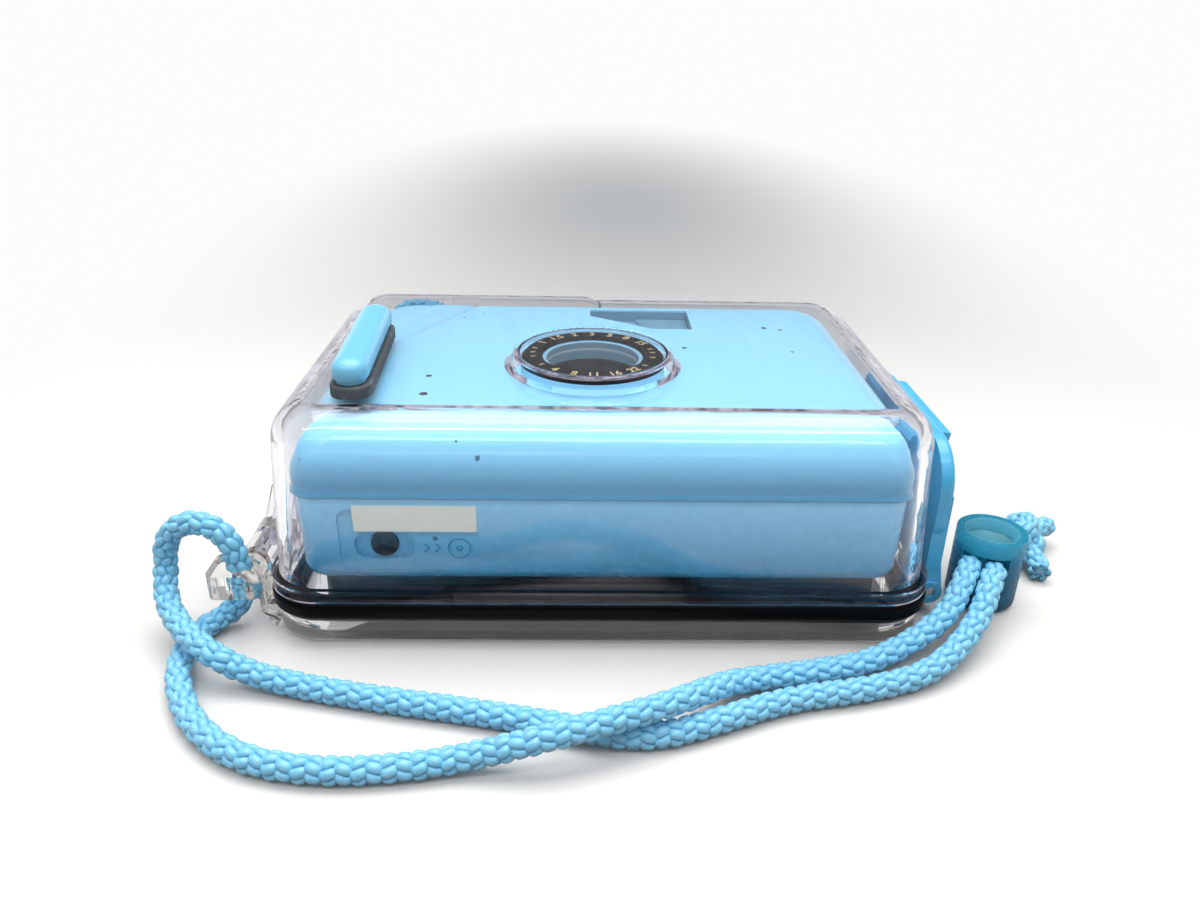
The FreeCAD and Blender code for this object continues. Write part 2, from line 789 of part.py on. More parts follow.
# Advance knob, its shaft and the rubber roller inside the lid
def advance_knob():
    start = shoulder_out + knob_gap
    end = start + knob_height
    knob = rod_y(roller_x, start, end, roller_z, knob_radius)
    rims = [edge for edge in knob.Edges if abs(edge.BoundBox.YMin - end) < 0.01 and abs(edge.BoundBox.YMax - end) < 0.01]
    knob = knob.makeFillet(knob_edge_radius, rims)
    cuts = [rod_y(roller_x, start - 1.0, start + boss_height, roller_z, boss_radius + boss_clearance)]
    reach = knob_radius + knob_groove_offset
    for index in range(knob_grooves):
        angle = 2.0 * math.pi * index / knob_grooves
        cuts.append(rod_y(roller_x + reach * math.cos(angle), start - 1.0, end + 1.0,
                          roller_z + reach * math.sin(angle), knob_groove_radius))
    cuts.append(rod_y(roller_x, start - 1.0, end - knob_cap, roller_z, shaft_radius))
    return knob.cut(Part.makeCompound(cuts))


def advance_shaft():
    return rod_y(roller_x, wheel_near, shoulder_out + knob_gap + knob_height - knob_cap, roller_z, shaft_radius)


def drive_roller():
    tyre = rod_y(roller_x, wheel_near, wheel_far, roller_z, roller_radius)
    return tyre.cut(rod_y(roller_x, wheel_near - 1.0, wheel_far + 1.0, roller_z, shaft_radius))


# Latch
def latch_lever():
    plate = Part.Face(outline(latch_near, latch_far, latch_bottom, latch_top, latch_corner, 0.0))
    plate = plate.extrude(Vector(0, 0, latch_thickness))
    plate.Placement = FreeCAD.Placement(Vector(latch_inner_x, 0, 0),
                                        FreeCAD.Rotation(Vector(0, 1, 0), Vector(0, 0, 1), Vector(1, 0, 0), "XYZ"))
    outer_edges = [edge for edge in plate.Edges
                   if abs(edge.BoundBox.XMin - latch_outer_x) < 0.01 and abs(edge.BoundBox.XMax - latch_outer_x) < 0.01]
    shapes = [plate.makeFillet(1.2, outer_edges)]
    for y0 in (latch_near, latch_far - latch_arm_width):
        y1 = y0 + latch_arm_width
        shapes.append(rod_y(latch_pivot_x, y0, y1, latch_pivot_z, latch_pivot_radius))
        arm = [(latch_inner_x, latch_pivot_z + 0.8), (latch_inner_x, latch_top - latch_corner),
               (latch_outer_x, latch_top - latch_corner), (latch_outer_x, latch_bottom),
               (latch_pivot_x + latch_pivot_radius, latch_pivot_z)]
        shapes.append(profile_y(arm, y0 + 0.4, y1 - 0.4))
    hook_bottom = latch_top - hook_height
    for middle in hook_places:
        hook = [(latch_inner_x + 0.5, hook_bottom - 2.0), (latch_inner_x + 0.5, latch_top),
                (latch_inner_x - hook_reach + 1.0, latch_top), (latch_inner_x - hook_reach, latch_top - 1.4),
                (latch_inner_x - hook_reach, hook_bottom), (latch_inner_x, hook_bottom)]
        shapes.append(profile_y(hook, middle - 0.5 * hook_width + 0.5, middle + 0.5 * hook_width - 0.5))
    tab = [(latch_outer_x - 0.6, latch_top - 9.0), (latch_outer_x + 1.2, latch_top - 3.5),
           (latch_outer_x + 1.6, latch_top - 0.8), (latch_outer_x - 0.2, latch_top - 0.6)]
    shapes.append(profile_y(tab, hook_places[0] - tab_overlap, hook_places[1] + tab_overlap))
    lever = joined(shapes)
    return lever.cut(rod_y(latch_pivot_x, latch_near - 1.0, latch_far + 1.0, latch_pivot_z,
                           latch_pin_radius + hinge_clearance))


def latch_pin():
    return rod_y(latch_pivot_x, latch_near + 0.5, latch_far - 0.5, latch_pivot_z, latch_pin_radius)


# Camera covers
def front_form(shrink, z0, z1):
    sides = (-camera_half_x + shrink, camera_half_x - shrink, -camera_half_y + shrink, camera_half_y - shrink)
    radii = (front_radius_left - shrink, front_radius_right - shrink, front_radius_near - shrink,
             max(front_radius_far - 0.3 * shrink, 0.1))
    return crowned(sides, camera_corner - 0.5 * shrink, z0, z1, radii, 0.8)


def finder_cut():
    corners = [Vector(finder_left, finder_far, camera_front - finder_depth),
               Vector(finder_right, finder_far, camera_front - finder_depth),
               Vector(finder_right, finder_near, camera_front - finder_depth),
               Vector(finder_left + 3.0 * finder_slant, finder_near, camera_front - finder_depth),
               Vector(finder_left, finder_far - finder_slant, camera_front - finder_depth)]
    face = Part.Face(Part.makePolygon(corners + corners[:1]))
    return face.extrude(Vector(0, 0, finder_depth + 1.0))


def screw_places():
    return [(x, y) for x in (-boss_x, boss_x) for y in (-boss_y, boss_y)]


def camera_front_cover():
    shell = front_form(0.0, camera_parting, camera_front).cut(
        front_form(camera_wall, camera_parting - 1.0, camera_front - camera_wall))
    tub = finder_cut()
    tub_wall = box(finder_left - 1.5, finder_right + 1.5, finder_near - 1.5, finder_far + 1.0,
                   camera_front - finder_depth - 1.3, camera_front - 1.0)
    shapes = [shell, tub_wall]
    for x, y in screw_places():
        shapes.append(rod(x, y, camera_parting + 1.5, screw_boss_radius, camera_front - camera_wall + 0.3 - camera_parting - 1.5))
    whole = joined(shapes).cut(tub)
    cuts = [rod(lens_x, lens_y, chassis_front, mount_radius + 0.3, camera_front)]
    for x, y in screw_places():
        cuts.append(rod(x, y, camera_parting, screw_radius, screw_length))
    cuts.append(rod_y(button_x, camera_half_y - 4.0, camera_half_y + 1.0, button_z, button_radius + button_clearance))
    return whole.cut(Part.makeCompound(cuts))


def camera_body_shell():
    half_x = camera_half_x - parting_step
    half_y = camera_half_y - parting_step
    low_x = half_x - body_taper_x
    low_y = half_y - body_taper_y
    sides = (-half_x, half_x, -half_y, half_y)
    form = soft_topped(sides, camera_corner, camera_back, camera_parting, body_edge_radius, body_edge_radius,
                       (body_taper_x, body_taper_y))
    outer = upside_down(form, camera_back, camera_parting)
    land = body_edge_radius + 0.8
    inner = slab(-low_x + land, low_x - land, -low_y + land, low_y - land, camera_corner - 1.0,
                 camera_back - 1.0, camera_parting + 1.0)
    ledge = slab(-low_x + 0.4, low_x - 0.4, -low_y - 0.4 + 1.2, low_y - 0.8, camera_corner - 1.0,
                 camera_parting - 0.3, camera_parting + 1.0)
    near = -half_y - 1.0
    panel = slab(panel_left, panel_right, panel_low, panel_high, panel_corner, 0.0, 1.0 + panel_depth)
    thumb = slab(thumb_left, thumb_right, thumb_low, thumb_high, 0.5 * (thumb_high - thumb_low) - 0.05,
                 0.0, 1.0 + thumb_depth)
    turn = FreeCAD.Rotation(Vector(1, 0, 0), Vector(0, 0, 1), Vector(0, -1, 0), "XYZ")
    cuts = []
    for shape, depth in ((panel, 1.0 + panel_depth), (thumb, 1.0 + thumb_depth)):
        moved = shape.copy()
        moved.Placement = FreeCAD.Placement(Vector(0, near + depth + 0.55, 0), turn)
        cuts.append(moved)
    cuts.append(rod_y(release_x, near - 1.0, near + 8.0, release_z, release_radius + button_clearance))
    cuts.append(rod_y(spool_x, chassis_half_y, half_y + 1.0, spool_z, journal_radius + journal_clearance))
    cuts.append(rod_y(cassette_x, chassis_half_y, half_y + 1.0, cassette_z, journal_radius + journal_clearance))
    cuts.append(rod_y(cassette_x, camera_half_y - rewind_recess, half_y + 1.0, cassette_z,
                      rewind_radius + button_clearance))
    shell = outer.cut(inner).cut(ledge)
    boss = rod_y(cassette_x, low_y - land - 0.5, half_y - 1.0, cassette_z, rewind_radius + 1.2)
    boss = boss.common(outer)
    return joined([shell, boss]).cut(Part.makeCompound(cuts))


def back_door():
    outer = slab(-door_half_x, door_half_x, -door_half_y, door_half_y, camera_corner, door_back, camera_back)
    outer = outer.makeFillet(door_edge_radius, level_edges(outer, door_back))
    inner = slab(-door_half_x + door_wall, door_half_x - door_wall, -door_half_y + door_wall,
                 door_half_y - door_wall, camera_corner - 1.0, door_back + door_wall, camera_back + 1.0)
    return outer.cut(inner)


# Film chassis, shutter and lens
def gate_light_box():
    def frame(size_x, size_y, z):
        hx, hy = 0.5 * size_x, 0.5 * size_y
        return Part.makePolygon([Vector(lens_x - hx, lens_y - hy, z), Vector(lens_x + hx, lens_y - hy, z),
                                 Vector(lens_x + hx, lens_y + hy, z), Vector(lens_x - hx, lens_y + hy, z),
                                 Vector(lens_x - hx, lens_y - hy, z)])
    return Part.makeLoft([frame(gate_x, gate_y, chassis_back - 0.1), frame(12.0, 12.0, chassis_front - 4.0)],
                         True, True)


def film_chassis():
    far = chassis_half_y
    near = chassis_near
    body = box(-chassis_half_x, chassis_half_x, near, far, chassis_back, camera_parting)
    tower = box(lens_x - 15.0, lens_x + 15.0, lens_y - 15.0, lens_y + 15.0, camera_parting - 1.0, chassis_front)
    dome = rod_y(cassette_x, near, far, cassette_z, cassette_chamber + 1.4)
    dome = dome.common(box(0.0, chassis_half_x, near, far, chassis_back, chassis_front + 2.0))
    half_x = camera_half_x - parting_step - body_taper_x - 0.8
    half_y = camera_half_y - parting_step - body_taper_y - 1.6
    flange = slab(-half_x, half_x, -half_y, half_y, camera_corner - 1.0, camera_parting - 0.3,
                  camera_parting + 1.5)
    cuts = [gate_light_box()]
    cuts.append(rod_y(spool_x, near + chamber_wall, far - chamber_wall, spool_z, spool_chamber))
    cuts.append(box(spool_x - spool_chamber, spool_x + spool_chamber, near + chamber_wall, far - chamber_wall,
                    chassis_back - 1.0, spool_z))
    cuts.append(rod_y(sprocket_x, near + chamber_wall, far - chamber_wall, sprocket_z, sprocket_radius + sprocket_tooth + 0.5))
    cuts.append(rod_y(cassette_x, near + chamber_wall, far - chamber_wall, cassette_z, cassette_chamber))
    cuts.append(box(cassette_x - cassette_chamber, cassette_x + cassette_chamber, near + chamber_wall, far - chamber_wall,
                    chassis_back - 1.0, cassette_z))
    cuts.append(rod(lens_x, lens_y, chassis_front - 6.0, light_hole, 8.0))
    cuts.append(rod(lens_x, lens_y, chassis_front - 1.4, mount_foot_radius - 0.4, 3.0))
    cuts.append(rod_y(sprocket_x, near - 1.0, far + 1.0, sprocket_z, journal_radius + journal_clearance))
    cuts.append(rod_y(spool_x, near - 1.0, far + 1.0, spool_z, journal_radius + journal_clearance))
    cuts.append(rod_y(cassette_x, 0.0, far + 1.0, cassette_z, journal_radius + journal_clearance))
    for x, y in screw_places():
        cuts.append(rod(x, y, camera_parting - 1.0, screw_radius, 4.0))
    block = joined([body, tower, dome, flange])
    inner_top = slab(-half_x + 4.0, half_x - 4.0, far + 0.8, half_y - 2.0, recess_corner, camera_parting - 1.0,
                     camera_parting + 3.0)
    inner_low = slab(-half_x + 4.0, half_x - 4.0, -half_y + 2.0, near - 0.8, recess_corner, camera_parting - 1.0,
                     camera_parting + 3.0)
    cuts += [inner_top, inner_low]
    notch = button_radius + button_flange_width + button_notch_gap
    notch_near = camera_half_y - camera_wall - 0.2 - button_flange - button_travel - button_notch_gap
    cuts.append(box(button_x - notch, button_x + notch, notch_near, half_y + 1.0, button_z - notch,
                    camera_parting + 3.0))
    pin = rod(lens_x + blade_pivot_offset, lens_y, chassis_front - 1.6, blade_pin_radius, 1.4)
    return joined([block.cut(Part.makeCompound(cuts)), pin])


def case_screws():
    screws = []
    for x, y in screw_places():
        head = rod(x, y, camera_parting - 0.3 - screw_head, screw_head_radius, screw_head)
        slot = box(x - screw_head_radius, x + screw_head_radius, y - 0.25, y + 0.25,
                   camera_parting - 0.4 - screw_head, camera_parting + 0.1 - screw_head)
        shank = rod(x, y, camera_parting - 0.4, screw_radius, screw_length)
        screws.append(joined([head, shank]).cut(slot))
    return Part.makeCompound(screws)


def shutter_blade():
    z0 = chassis_front - blade_drop
    pivot_x = lens_x + blade_pivot_offset
    disc = rod(lens_x, lens_y, z0, blade_radius, blade_thickness)
    stem = box(lens_x, pivot_x, lens_y - 1.4, lens_y + 1.4, z0, z0 + blade_thickness)
    hub = rod(pivot_x, lens_y, z0, 2.2, blade_thickness)
    hole = rod(pivot_x, lens_y, z0 - 1.0, blade_pin_radius + 0.05, 3.0)
    return joined([disc, stem, hub]).cut(hole)


def lens_mount():
    foot = rod(lens_x, lens_y, chassis_front, mount_foot_radius, mount_foot)
    barrel = rod(lens_x, lens_y, chassis_front, mount_radius, mount_top - chassis_front)
    bore = rod(lens_x, lens_y, chassis_front - 1.0, rear_lens_radius, 8.0)
    seat = rod(lens_x, lens_y, mount_top - 0.8, glass_radius, 2.0)
    return joined([foot, barrel]).cut(bore).cut(seat)


def lens_glass(radius, z, edge, rise):
    # Flat below, domed above
    sphere_radius = (radius * radius + rise * rise) / (2.0 * rise)
    puck = rod(lens_x, lens_y, z, radius, edge + rise)
    ball = Part.makeSphere(sphere_radius, Vector(lens_x, lens_y, z + edge + rise - sphere_radius))
    return puck.common(ball)


def lens_cone():
    top = cone_top
    low = mount_top
    mid = 0.5 * (top + low)
    wide = ring_inner
    return revolved([(cone_low_radius, low), (cone_low_radius + 0.9, mid), (cone_low_radius + cone_step * 0.75, mid),
                     (wide - 0.7, top), (wide, top), (wide, camera_front - 1.0), (mount_radius, camera_front - 1.0),
                     (mount_radius, low)], lens_x, lens_y)


def lens_ring():
    base = camera_front
    return revolved([(ring_inner, base), (ring_outer, base), (ring_outer, ring_top - ring_bevel),
                     (ring_outer - ring_bevel, ring_top), (ring_inner + 0.5, ring_top),
                     (ring_inner, ring_top - 0.5)], lens_x, lens_y)


def finder_window():
    gap = finder_glass_gap
    low = camera_front - finder_depth
    corners = [Vector(finder_left + finder_glass_start + gap, finder_far - gap, low),
               Vector(finder_right - gap, finder_far - gap, low), Vector(finder_right - gap, finder_near + gap, low),
               Vector(finder_left + 3.0 * finder_slant, finder_near + gap, low)]
    return Part.Face(Part.makePolygon(corners + corners[:1])).extrude(Vector(0, 0, finder_glass_thickness))


# Film transport
def take_up_spool():
    drum = rod_y(spool_x, spool_near, spool_far, spool_z, spool_radius)
    slot = box(spool_x - 0.6, spool_x + 0.6, -sprocket_row, sprocket_row, spool_z - spool_radius - 1.0, spool_z + spool_radius + 1.0)
    low = rod_y(spool_x, spool_near - spool_near_gap + 0.2, spool_near + 0.5, spool_z, journal_radius)
    high = rod_y(spool_x, spool_far - 0.5, wheel_near + 0.2, spool_z, journal_radius)
    return joined([drum.cut(slot), low, high])


def wind_wheel():
    wheel = rod_y(spool_x, wheel_near, wheel_far, spool_z, wheel_radius)
    cuts = [rod_y(spool_x, wheel_near - 1.0, wheel_near + 0.2, spool_z, journal_radius)]
    for index in range(wheel_grooves):
        angle = 2.0 * math.pi * (index + 0.5) / wheel_grooves
        reach = wheel_radius + 0.1
        cuts.append(rod_y(spool_x + reach * math.cos(angle), wheel_near - 1.0, wheel_far + 1.0,
                          spool_z + reach * math.sin(angle), wheel_groove_radius))
    return wheel.cut(Part.makeCompound(cuts))


def film_sprocket():
    near = -sprocket_half
    far = sprocket_half
    shapes = [rod_y(sprocket_x, near, far, sprocket_z, sprocket_core)]
    for row in (-sprocket_row, sprocket_row):
        shapes.append(rod_y(sprocket_x, row - 2.0, row + 2.0, sprocket_z, sprocket_radius))
        for index in range(sprocket_teeth):
            tooth = box(-0.5, 0.5, row - 0.9, row + 0.9, sprocket_radius - 0.3, sprocket_radius + sprocket_tooth)
            tooth.rotate(Vector(0, 0, 0), Vector(0, 1, 0), 360.0 * index / sprocket_teeth)
            tooth.translate(Vector(sprocket_x, 0, sprocket_z))
            shapes.append(tooth)
    shapes.append(rod_y(sprocket_x, near - sprocket_journal, far + sprocket_journal, sprocket_z, journal_radius))
    return joined(shapes)


def rewind_knob():
    far = camera_half_y - parting_step - rewind_flush
    disc = rod_y(cassette_x, camera_half_y - rewind_recess, far, cassette_z, rewind_radius)
    half = rewind_groove_half
    groove = box(cassette_x - rewind_radius + 1.0, cassette_x + rewind_radius - 3.0, far - rewind_groove, far + 1.0,
                 cassette_z - half, cassette_z + half)
    stem = rod_y(cassette_x, chassis_half_y - rewind_fork, camera_half_y - rewind_recess + 0.2, cassette_z,
                 journal_radius)
    blade = box(cassette_x - 3.0, cassette_x + 3.0, chassis_half_y - rewind_fork - 1.0, chassis_half_y - 2.4,
                cassette_z - 0.6, cassette_z + 0.6)
    return joined([disc, stem, blade]).cut(groove)


def rewind_crank():
    far = camera_half_y - parting_step - rewind_flush
    half = rewind_groove_half - 0.1
    return box(cassette_x - rewind_radius + 1.1, cassette_x + rewind_radius - 3.1, far - rewind_groove, far,
               cassette_z - half, cassette_z + half)


def shutter_button():
    front = camera_half_y + button_proud
    cap = rod_y(button_x, camera_half_y - 2.0, front, button_z, button_radius)
    rim = [edge for edge in cap.Edges if abs(edge.BoundBox.YMin - front) < 0.01 and abs(edge.BoundBox.YMax - front) < 0.01]
    cap = cap.makeFillet(0.4, rim)
    inner = camera_half_y - camera_wall - 0.2
    flange = rod_y(button_x, inner - button_flange, inner, button_z, button_radius + button_flange_width)
    return joined([cap, flange])


def rewind_release():
    near = -camera_half_y + thumb_depth + 0.3
    return rod_y(release_x, near, near + release_length, release_z, release_radius)


def blank_label():
    # A thin plate lying on the leaning near wall
    lean = body_taper_y / (camera_parting - camera_back)
    wall = -camera_half_y + parting_step
    corners = []
    for z, out in ((label_low, 0.0), (label_high, 0.0), (label_high, label_thickness), (label_low, label_thickness)):
        corners.append(Vector(label_left, wall + lean * (camera_parting - z) - out, z))
    face = Part.Face(Part.makePolygon(corners + corners[:1]))
    return face.extrude(Vector(label_right - label_left, 0, 0))


# Wrist cord
def rounded_route(points, radius, name):
    # Straight runs joined by tangent arcs: each arc takes 0.45 of the shorter of its two runs
    edges = []
    radii = []
    last = points[0]
    for before, at, after in zip(points, points[1:], points[2:]):
        back = before - at
        ahead = after - at
        share = 0.45 * min(back.Length, ahead.Length)
        back.normalize()
        ahead.normalize()
        half_turn = 0.5 * (math.pi - back.getAngle(ahead))
        radii.append(share / math.tan(half_turn))
        enter = at + back * share
        leave = at + ahead * share
        middle = back + ahead
        middle.normalize()
        depth = radii[-1] / math.cos(half_turn) - radii[-1]
        edges.append(Part.makeLine(last, enter))
        edges.append(Part.Arc(enter, at + middle * depth, leave).toShape())
        last = leave
    edges.append(Part.makeLine(last, points[-1]))
    path = Part.Wire(edges)
    start = points[0]
    way = points[1] - points[0]
    ring = Part.Wire(Part.makeCircle(radius, start, way))
    tube = path.makePipeShell([ring], True, False)
    expected = math.pi * radius * radius * path.Length
    print(name, "length", round(path.Length, 1), "least radius", round(min(radii), 1),
          "volume ratio", round(tube.Volume / expected, 4))
    return tube


floor_z = cord_radius

# Route of the strand that rises out of the lug and loops over to the left
cord_upper_route = [
    lug_place + Vector(0, 0, 11.6), lug_place + Vector(0, 0, 17), lug_place + Vector(-3.4, 0.7, 21.2),
    lug_place + Vector(-8.8, 1.8, 21.7), lug_place + Vector(-13.3, 2.7, 17.8),
    lug_place + Vector(-14.3, 2.9, 11.9), lug_place + Vector(-13.2, -2.1, 7.6),
    lug_place + Vector(-7.5, -9.8, 6.8), lug_place + Vector(-0.7, -16.1, 6.8),
    lug_place + Vector(5, -16.7, 3.4), near_side + Vector(-50.2, -13.4, floor_z),
    near_side + Vector(-36.5, -16.6, floor_z), near_side + Vector(-21.6, -19.4, floor_z),
    near_side + Vector(-7.2, -22.7, floor_z), near_side + Vector(6.4, -26, floor_z),
    near_side + Vector(18.6, -21.4, floor_z), near_side + Vector(30.6, -16.2, floor_z),
    near_side + Vector(44.8, -13.9, floor_z), lock_place + Vector(-17.7, -26.5, 2.6),
    lock_place + Vector(-7.7, -17.3, 6.2), lock_place + Vector(-3.9, -11.15, lock_slot_centre),
    lock_place + Vector(-0.9, -5.95, lock_slot_centre)]

# Route of the strand that drops out of the lug and lies nearer the viewer
cord_lower_route = [
    lug_place + Vector(0, 0, 11.2), lug_place + Vector(0, 0, 6.6), lug_place + Vector(-3.6, 0.7, 3),
    lug_place + Vector(-7.3, -3.3, floor_z), lug_place + Vector(-8.1, -10.8, floor_z),
    lug_place + Vector(-5.6, -19.2, floor_z), lug_place + Vector(0.5, -28.7, floor_z),
    lug_place + Vector(10, -35.8, floor_z), near_side + Vector(-42.2, -32.7, floor_z),
    near_side + Vector(-30.6, -31.9, floor_z), near_side + Vector(-20.5, -30.1, 2.7),
    near_side + Vector(-9.4, -30.6, 6.8), near_side + Vector(1.3, -26.9, 7.1),
    near_side + Vector(11.6, -22.3, 6.9), near_side + Vector(19.4, -15.2, 4.4),
    near_side + Vector(25.8, -11.1, floor_z), near_side + Vector(35, -9.5, floor_z),
    lock_place + Vector(-27.6, -23.8, 2.4), lock_place + Vector(-13.5, -16.4, 5.8),
    lock_place + Vector(-7.7, -8.95, lock_slot_centre),
    lock_place + Vector(-4.7, -3.75, lock_slot_centre)]


def cord_upper():
    return rounded_route(cord_upper_route, cord_radius, "cord_upper")


def cord_lower():
    return rounded_route(cord_lower_route, cord_radius, "cord_lower")


# Cord lock: barrel, plunger, and the knot behind it
cord_way = Vector(math.cos(math.radians(cord_turn)), math.sin(math.radians(cord_turn)), 0.0)


def lock_slot(width, height):
    form = box(-10.0, 10.0, -0.5 * width, 0.5 * width, lock_slot_centre - 0.5 * height,
               lock_slot_centre + 0.5 * height)
    form.Placement = FreeCAD.Placement(Vector(lock_x, lock_y, 0), FreeCAD.Rotation(Vector(0, 0, 1), cord_turn))
    return form


def cord_lock():
    barrel = rod(lock_x, lock_y, 0.0, lock_radius, lock_height)
    barrel = barrel.makeFillet(lock_edge_radius, level_edges(barrel, 0.0))
    bore = rod(lock_x, lock_y, lock_bottom, lock_bore, lock_height)
    return barrel.cut(bore).cut(lock_slot(lock_slot_width, lock_slot_height))


def lock_plunger():
    plunger = rod(lock_x, lock_y, plunger_foot, lock_bore - plunger_clearance, plunger_top - plunger_foot)
    dish = rod(lock_x, lock_y, plunger_top - 0.7, lock_bore - 1.4, 2.0)
    return plunger.cut(dish).cut(lock_slot(plunger_slot_width, plunger_slot_height))


def cord_knot():
    return Part.makeSphere(knot_radius, knot_centre)


def cord_tails():
    leave = Vector(lock_x, lock_y, lock_slot_centre) + cord_way * (lock_radius + tail_gap)
    reach = knot_centre - leave
    span = reach.Length - knot_radius
    reach.normalize()
    tail = Part.makeCylinder(cord_radius, span, leave, reach)
    ball = Part.makeSphere(knot_radius, knot_centre)
    pieces = [tail]
    for turn in (-62.0, -8.0):
        way = FreeCAD.Rotation(Vector(0, 0, 1), turn).multVec(Vector(cord_way))
        start = knot_centre + way * (knot_radius - tail_sink)
        pieces.append(Part.makeCylinder(cord_radius, tail_length, start, way))
    return [piece.cut(ball) for piece in pieces]


# Write every piece
pieces = {
    "back_case": back_case(), "seal_gasket": seal_gasket(), "hinge_pins": hinge_pins(),
    "front_case": front_case(), "port_window": port_window(), "trigger_pad": trigger_pad(),
    "trigger_seal": shaft_seal(trigger_x, trigger_pivot_y, pad_top - gland_depth + seal_ring_minor, Vector(0, 0, 1)),
    "advance_seal": shaft_seal(roller_x, shoulder_out + boss_height - gland_depth + seal_ring_minor, roller_z,
                               Vector(0, 1, 0)),
    "trigger_lever": trigger_lever(), "trigger_shaft": trigger_shaft(), "trigger_arm": trigger_arm(),
    "advance_knob": advance_knob(), "advance_shaft": advance_shaft(), "drive_roller": drive_roller(),
    "latch_lever": latch_lever(), "latch_pin": latch_pin(),
    "camera_front_cover": camera_front_cover(), "camera_body_shell": camera_body_shell(),
    "back_door": back_door(), "film_chassis": film_chassis(), "case_screws": case_screws(),
    "shutter_blade": shutter_blade(), "lens_mount": lens_mount(),
    "front_lens": lens_glass(glass_radius, mount_top - 0.8, glass_edge, glass_rise),
    "rear_lens": lens_glass(rear_lens_radius, chassis_front + 0.1, 0.7, 0.6),
    "lens_cone": lens_cone(), "lens_ring": lens_ring(), "finder_window": finder_window(),
    "take_up_spool": take_up_spool(), "wind_wheel": wind_wheel(), "film_sprocket": film_sprocket(),
    "rewind_knob": rewind_knob(), "rewind_crank": rewind_crank(), "shutter_button": shutter_button(),
    "rewind_release": rewind_release(), "blank_label": blank_label(),
    "cord_upper": cord_upper(), "cord_lower": cord_lower(), "cord_lock": cord_lock(),
    "lock_plunger": lock_plunger(), "cord_knot": cord_knot(), "cord_tails": Part.makeCompound(cord_tails()),
}

for piece_name, piece in pieces.items():
    save(piece_name, piece)
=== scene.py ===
import bmesh
import bpy
import math
import numpy as np
from mathutils import Matrix


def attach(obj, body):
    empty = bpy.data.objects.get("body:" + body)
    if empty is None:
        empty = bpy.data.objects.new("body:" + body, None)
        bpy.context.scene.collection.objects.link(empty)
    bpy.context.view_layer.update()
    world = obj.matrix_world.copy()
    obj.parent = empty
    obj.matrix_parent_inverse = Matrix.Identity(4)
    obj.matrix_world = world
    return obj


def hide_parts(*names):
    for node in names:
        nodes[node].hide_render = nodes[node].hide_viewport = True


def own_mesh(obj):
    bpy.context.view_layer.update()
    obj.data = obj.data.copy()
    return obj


# Pocket film camera in a clear splash-proof case, dressed over its CAD frame. Metres, +Z up.
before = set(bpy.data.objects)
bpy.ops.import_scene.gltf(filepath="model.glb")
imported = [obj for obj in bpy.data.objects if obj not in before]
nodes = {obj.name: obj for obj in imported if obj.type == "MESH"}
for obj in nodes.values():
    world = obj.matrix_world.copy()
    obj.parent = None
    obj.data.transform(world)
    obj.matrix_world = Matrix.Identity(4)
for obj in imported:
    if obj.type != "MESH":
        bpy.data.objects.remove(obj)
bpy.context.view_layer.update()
mm = 0.001
print("stage: frame loaded,", len(nodes), "nodes")


# View: where it stands in mm, how it turns in radians, its sensor and lens in mm, and what it sees in m
view = dict(place=(-5.261, -176.132, 104.465), yaw=0.0298756, pitch=0.4394467, roll=0.0215367,
            sensor=36.0, lens=28.2018, nearest=0.005, farthest=30.0)


def addObject(name, data):
    made = bpy.data.objects.new(name, data)
    bpy.context.scene.collection.objects.link(made)
    return made


heading = np.array([math.sin(view["yaw"]) * math.cos(view["pitch"]),
                    math.cos(view["yaw"]) * math.cos(view["pitch"]), -math.sin(view["pitch"])])
level = np.array([math.cos(view["yaw"]), -math.sin(view["yaw"]), 0.0])
rise = np.cross(level, heading)
right = math.cos(view["roll"]) * level + math.sin(view["roll"]) * rise
upward = -math.sin(view["roll"]) * level + math.cos(view["roll"]) * rise
camera = addObject("camera", bpy.data.cameras.new("camera"))
camera.data.sensor_width = view["sensor"]
camera.data.lens = view["lens"]
camera.data.clip_start = view["nearest"]
camera.data.clip_end = view["farthest"]
turn = Matrix((right, upward, -heading)).transposed()
camera.matrix_world = Matrix.Translation([v * mm for v in view["place"]]) @ turn.to_4x4()
bpy.context.scene.camera = camera


# Shared tools
def quadFaces(rows, columns, closeRows, closeColumns, start=0):
    # Every cell of a grid of points as one quad, with the corner numbers of its pattern coordinates
    i, j = np.meshgrid(np.arange(rows if closeRows else rows - 1),
                       np.arange(columns if closeColumns else columns - 1), indexing="ij")
    i, j = i.ravel(), j.ravel()
    steps = [(i, j), (i + 1, j), (i + 1, j + 1), (i, j + 1)]
    corners = np.stack([(a % rows) * columns + b % columns for a, b in steps], 1) + start
    places = np.stack([np.stack(step, 1) for step in steps], 1)
    return corners, places


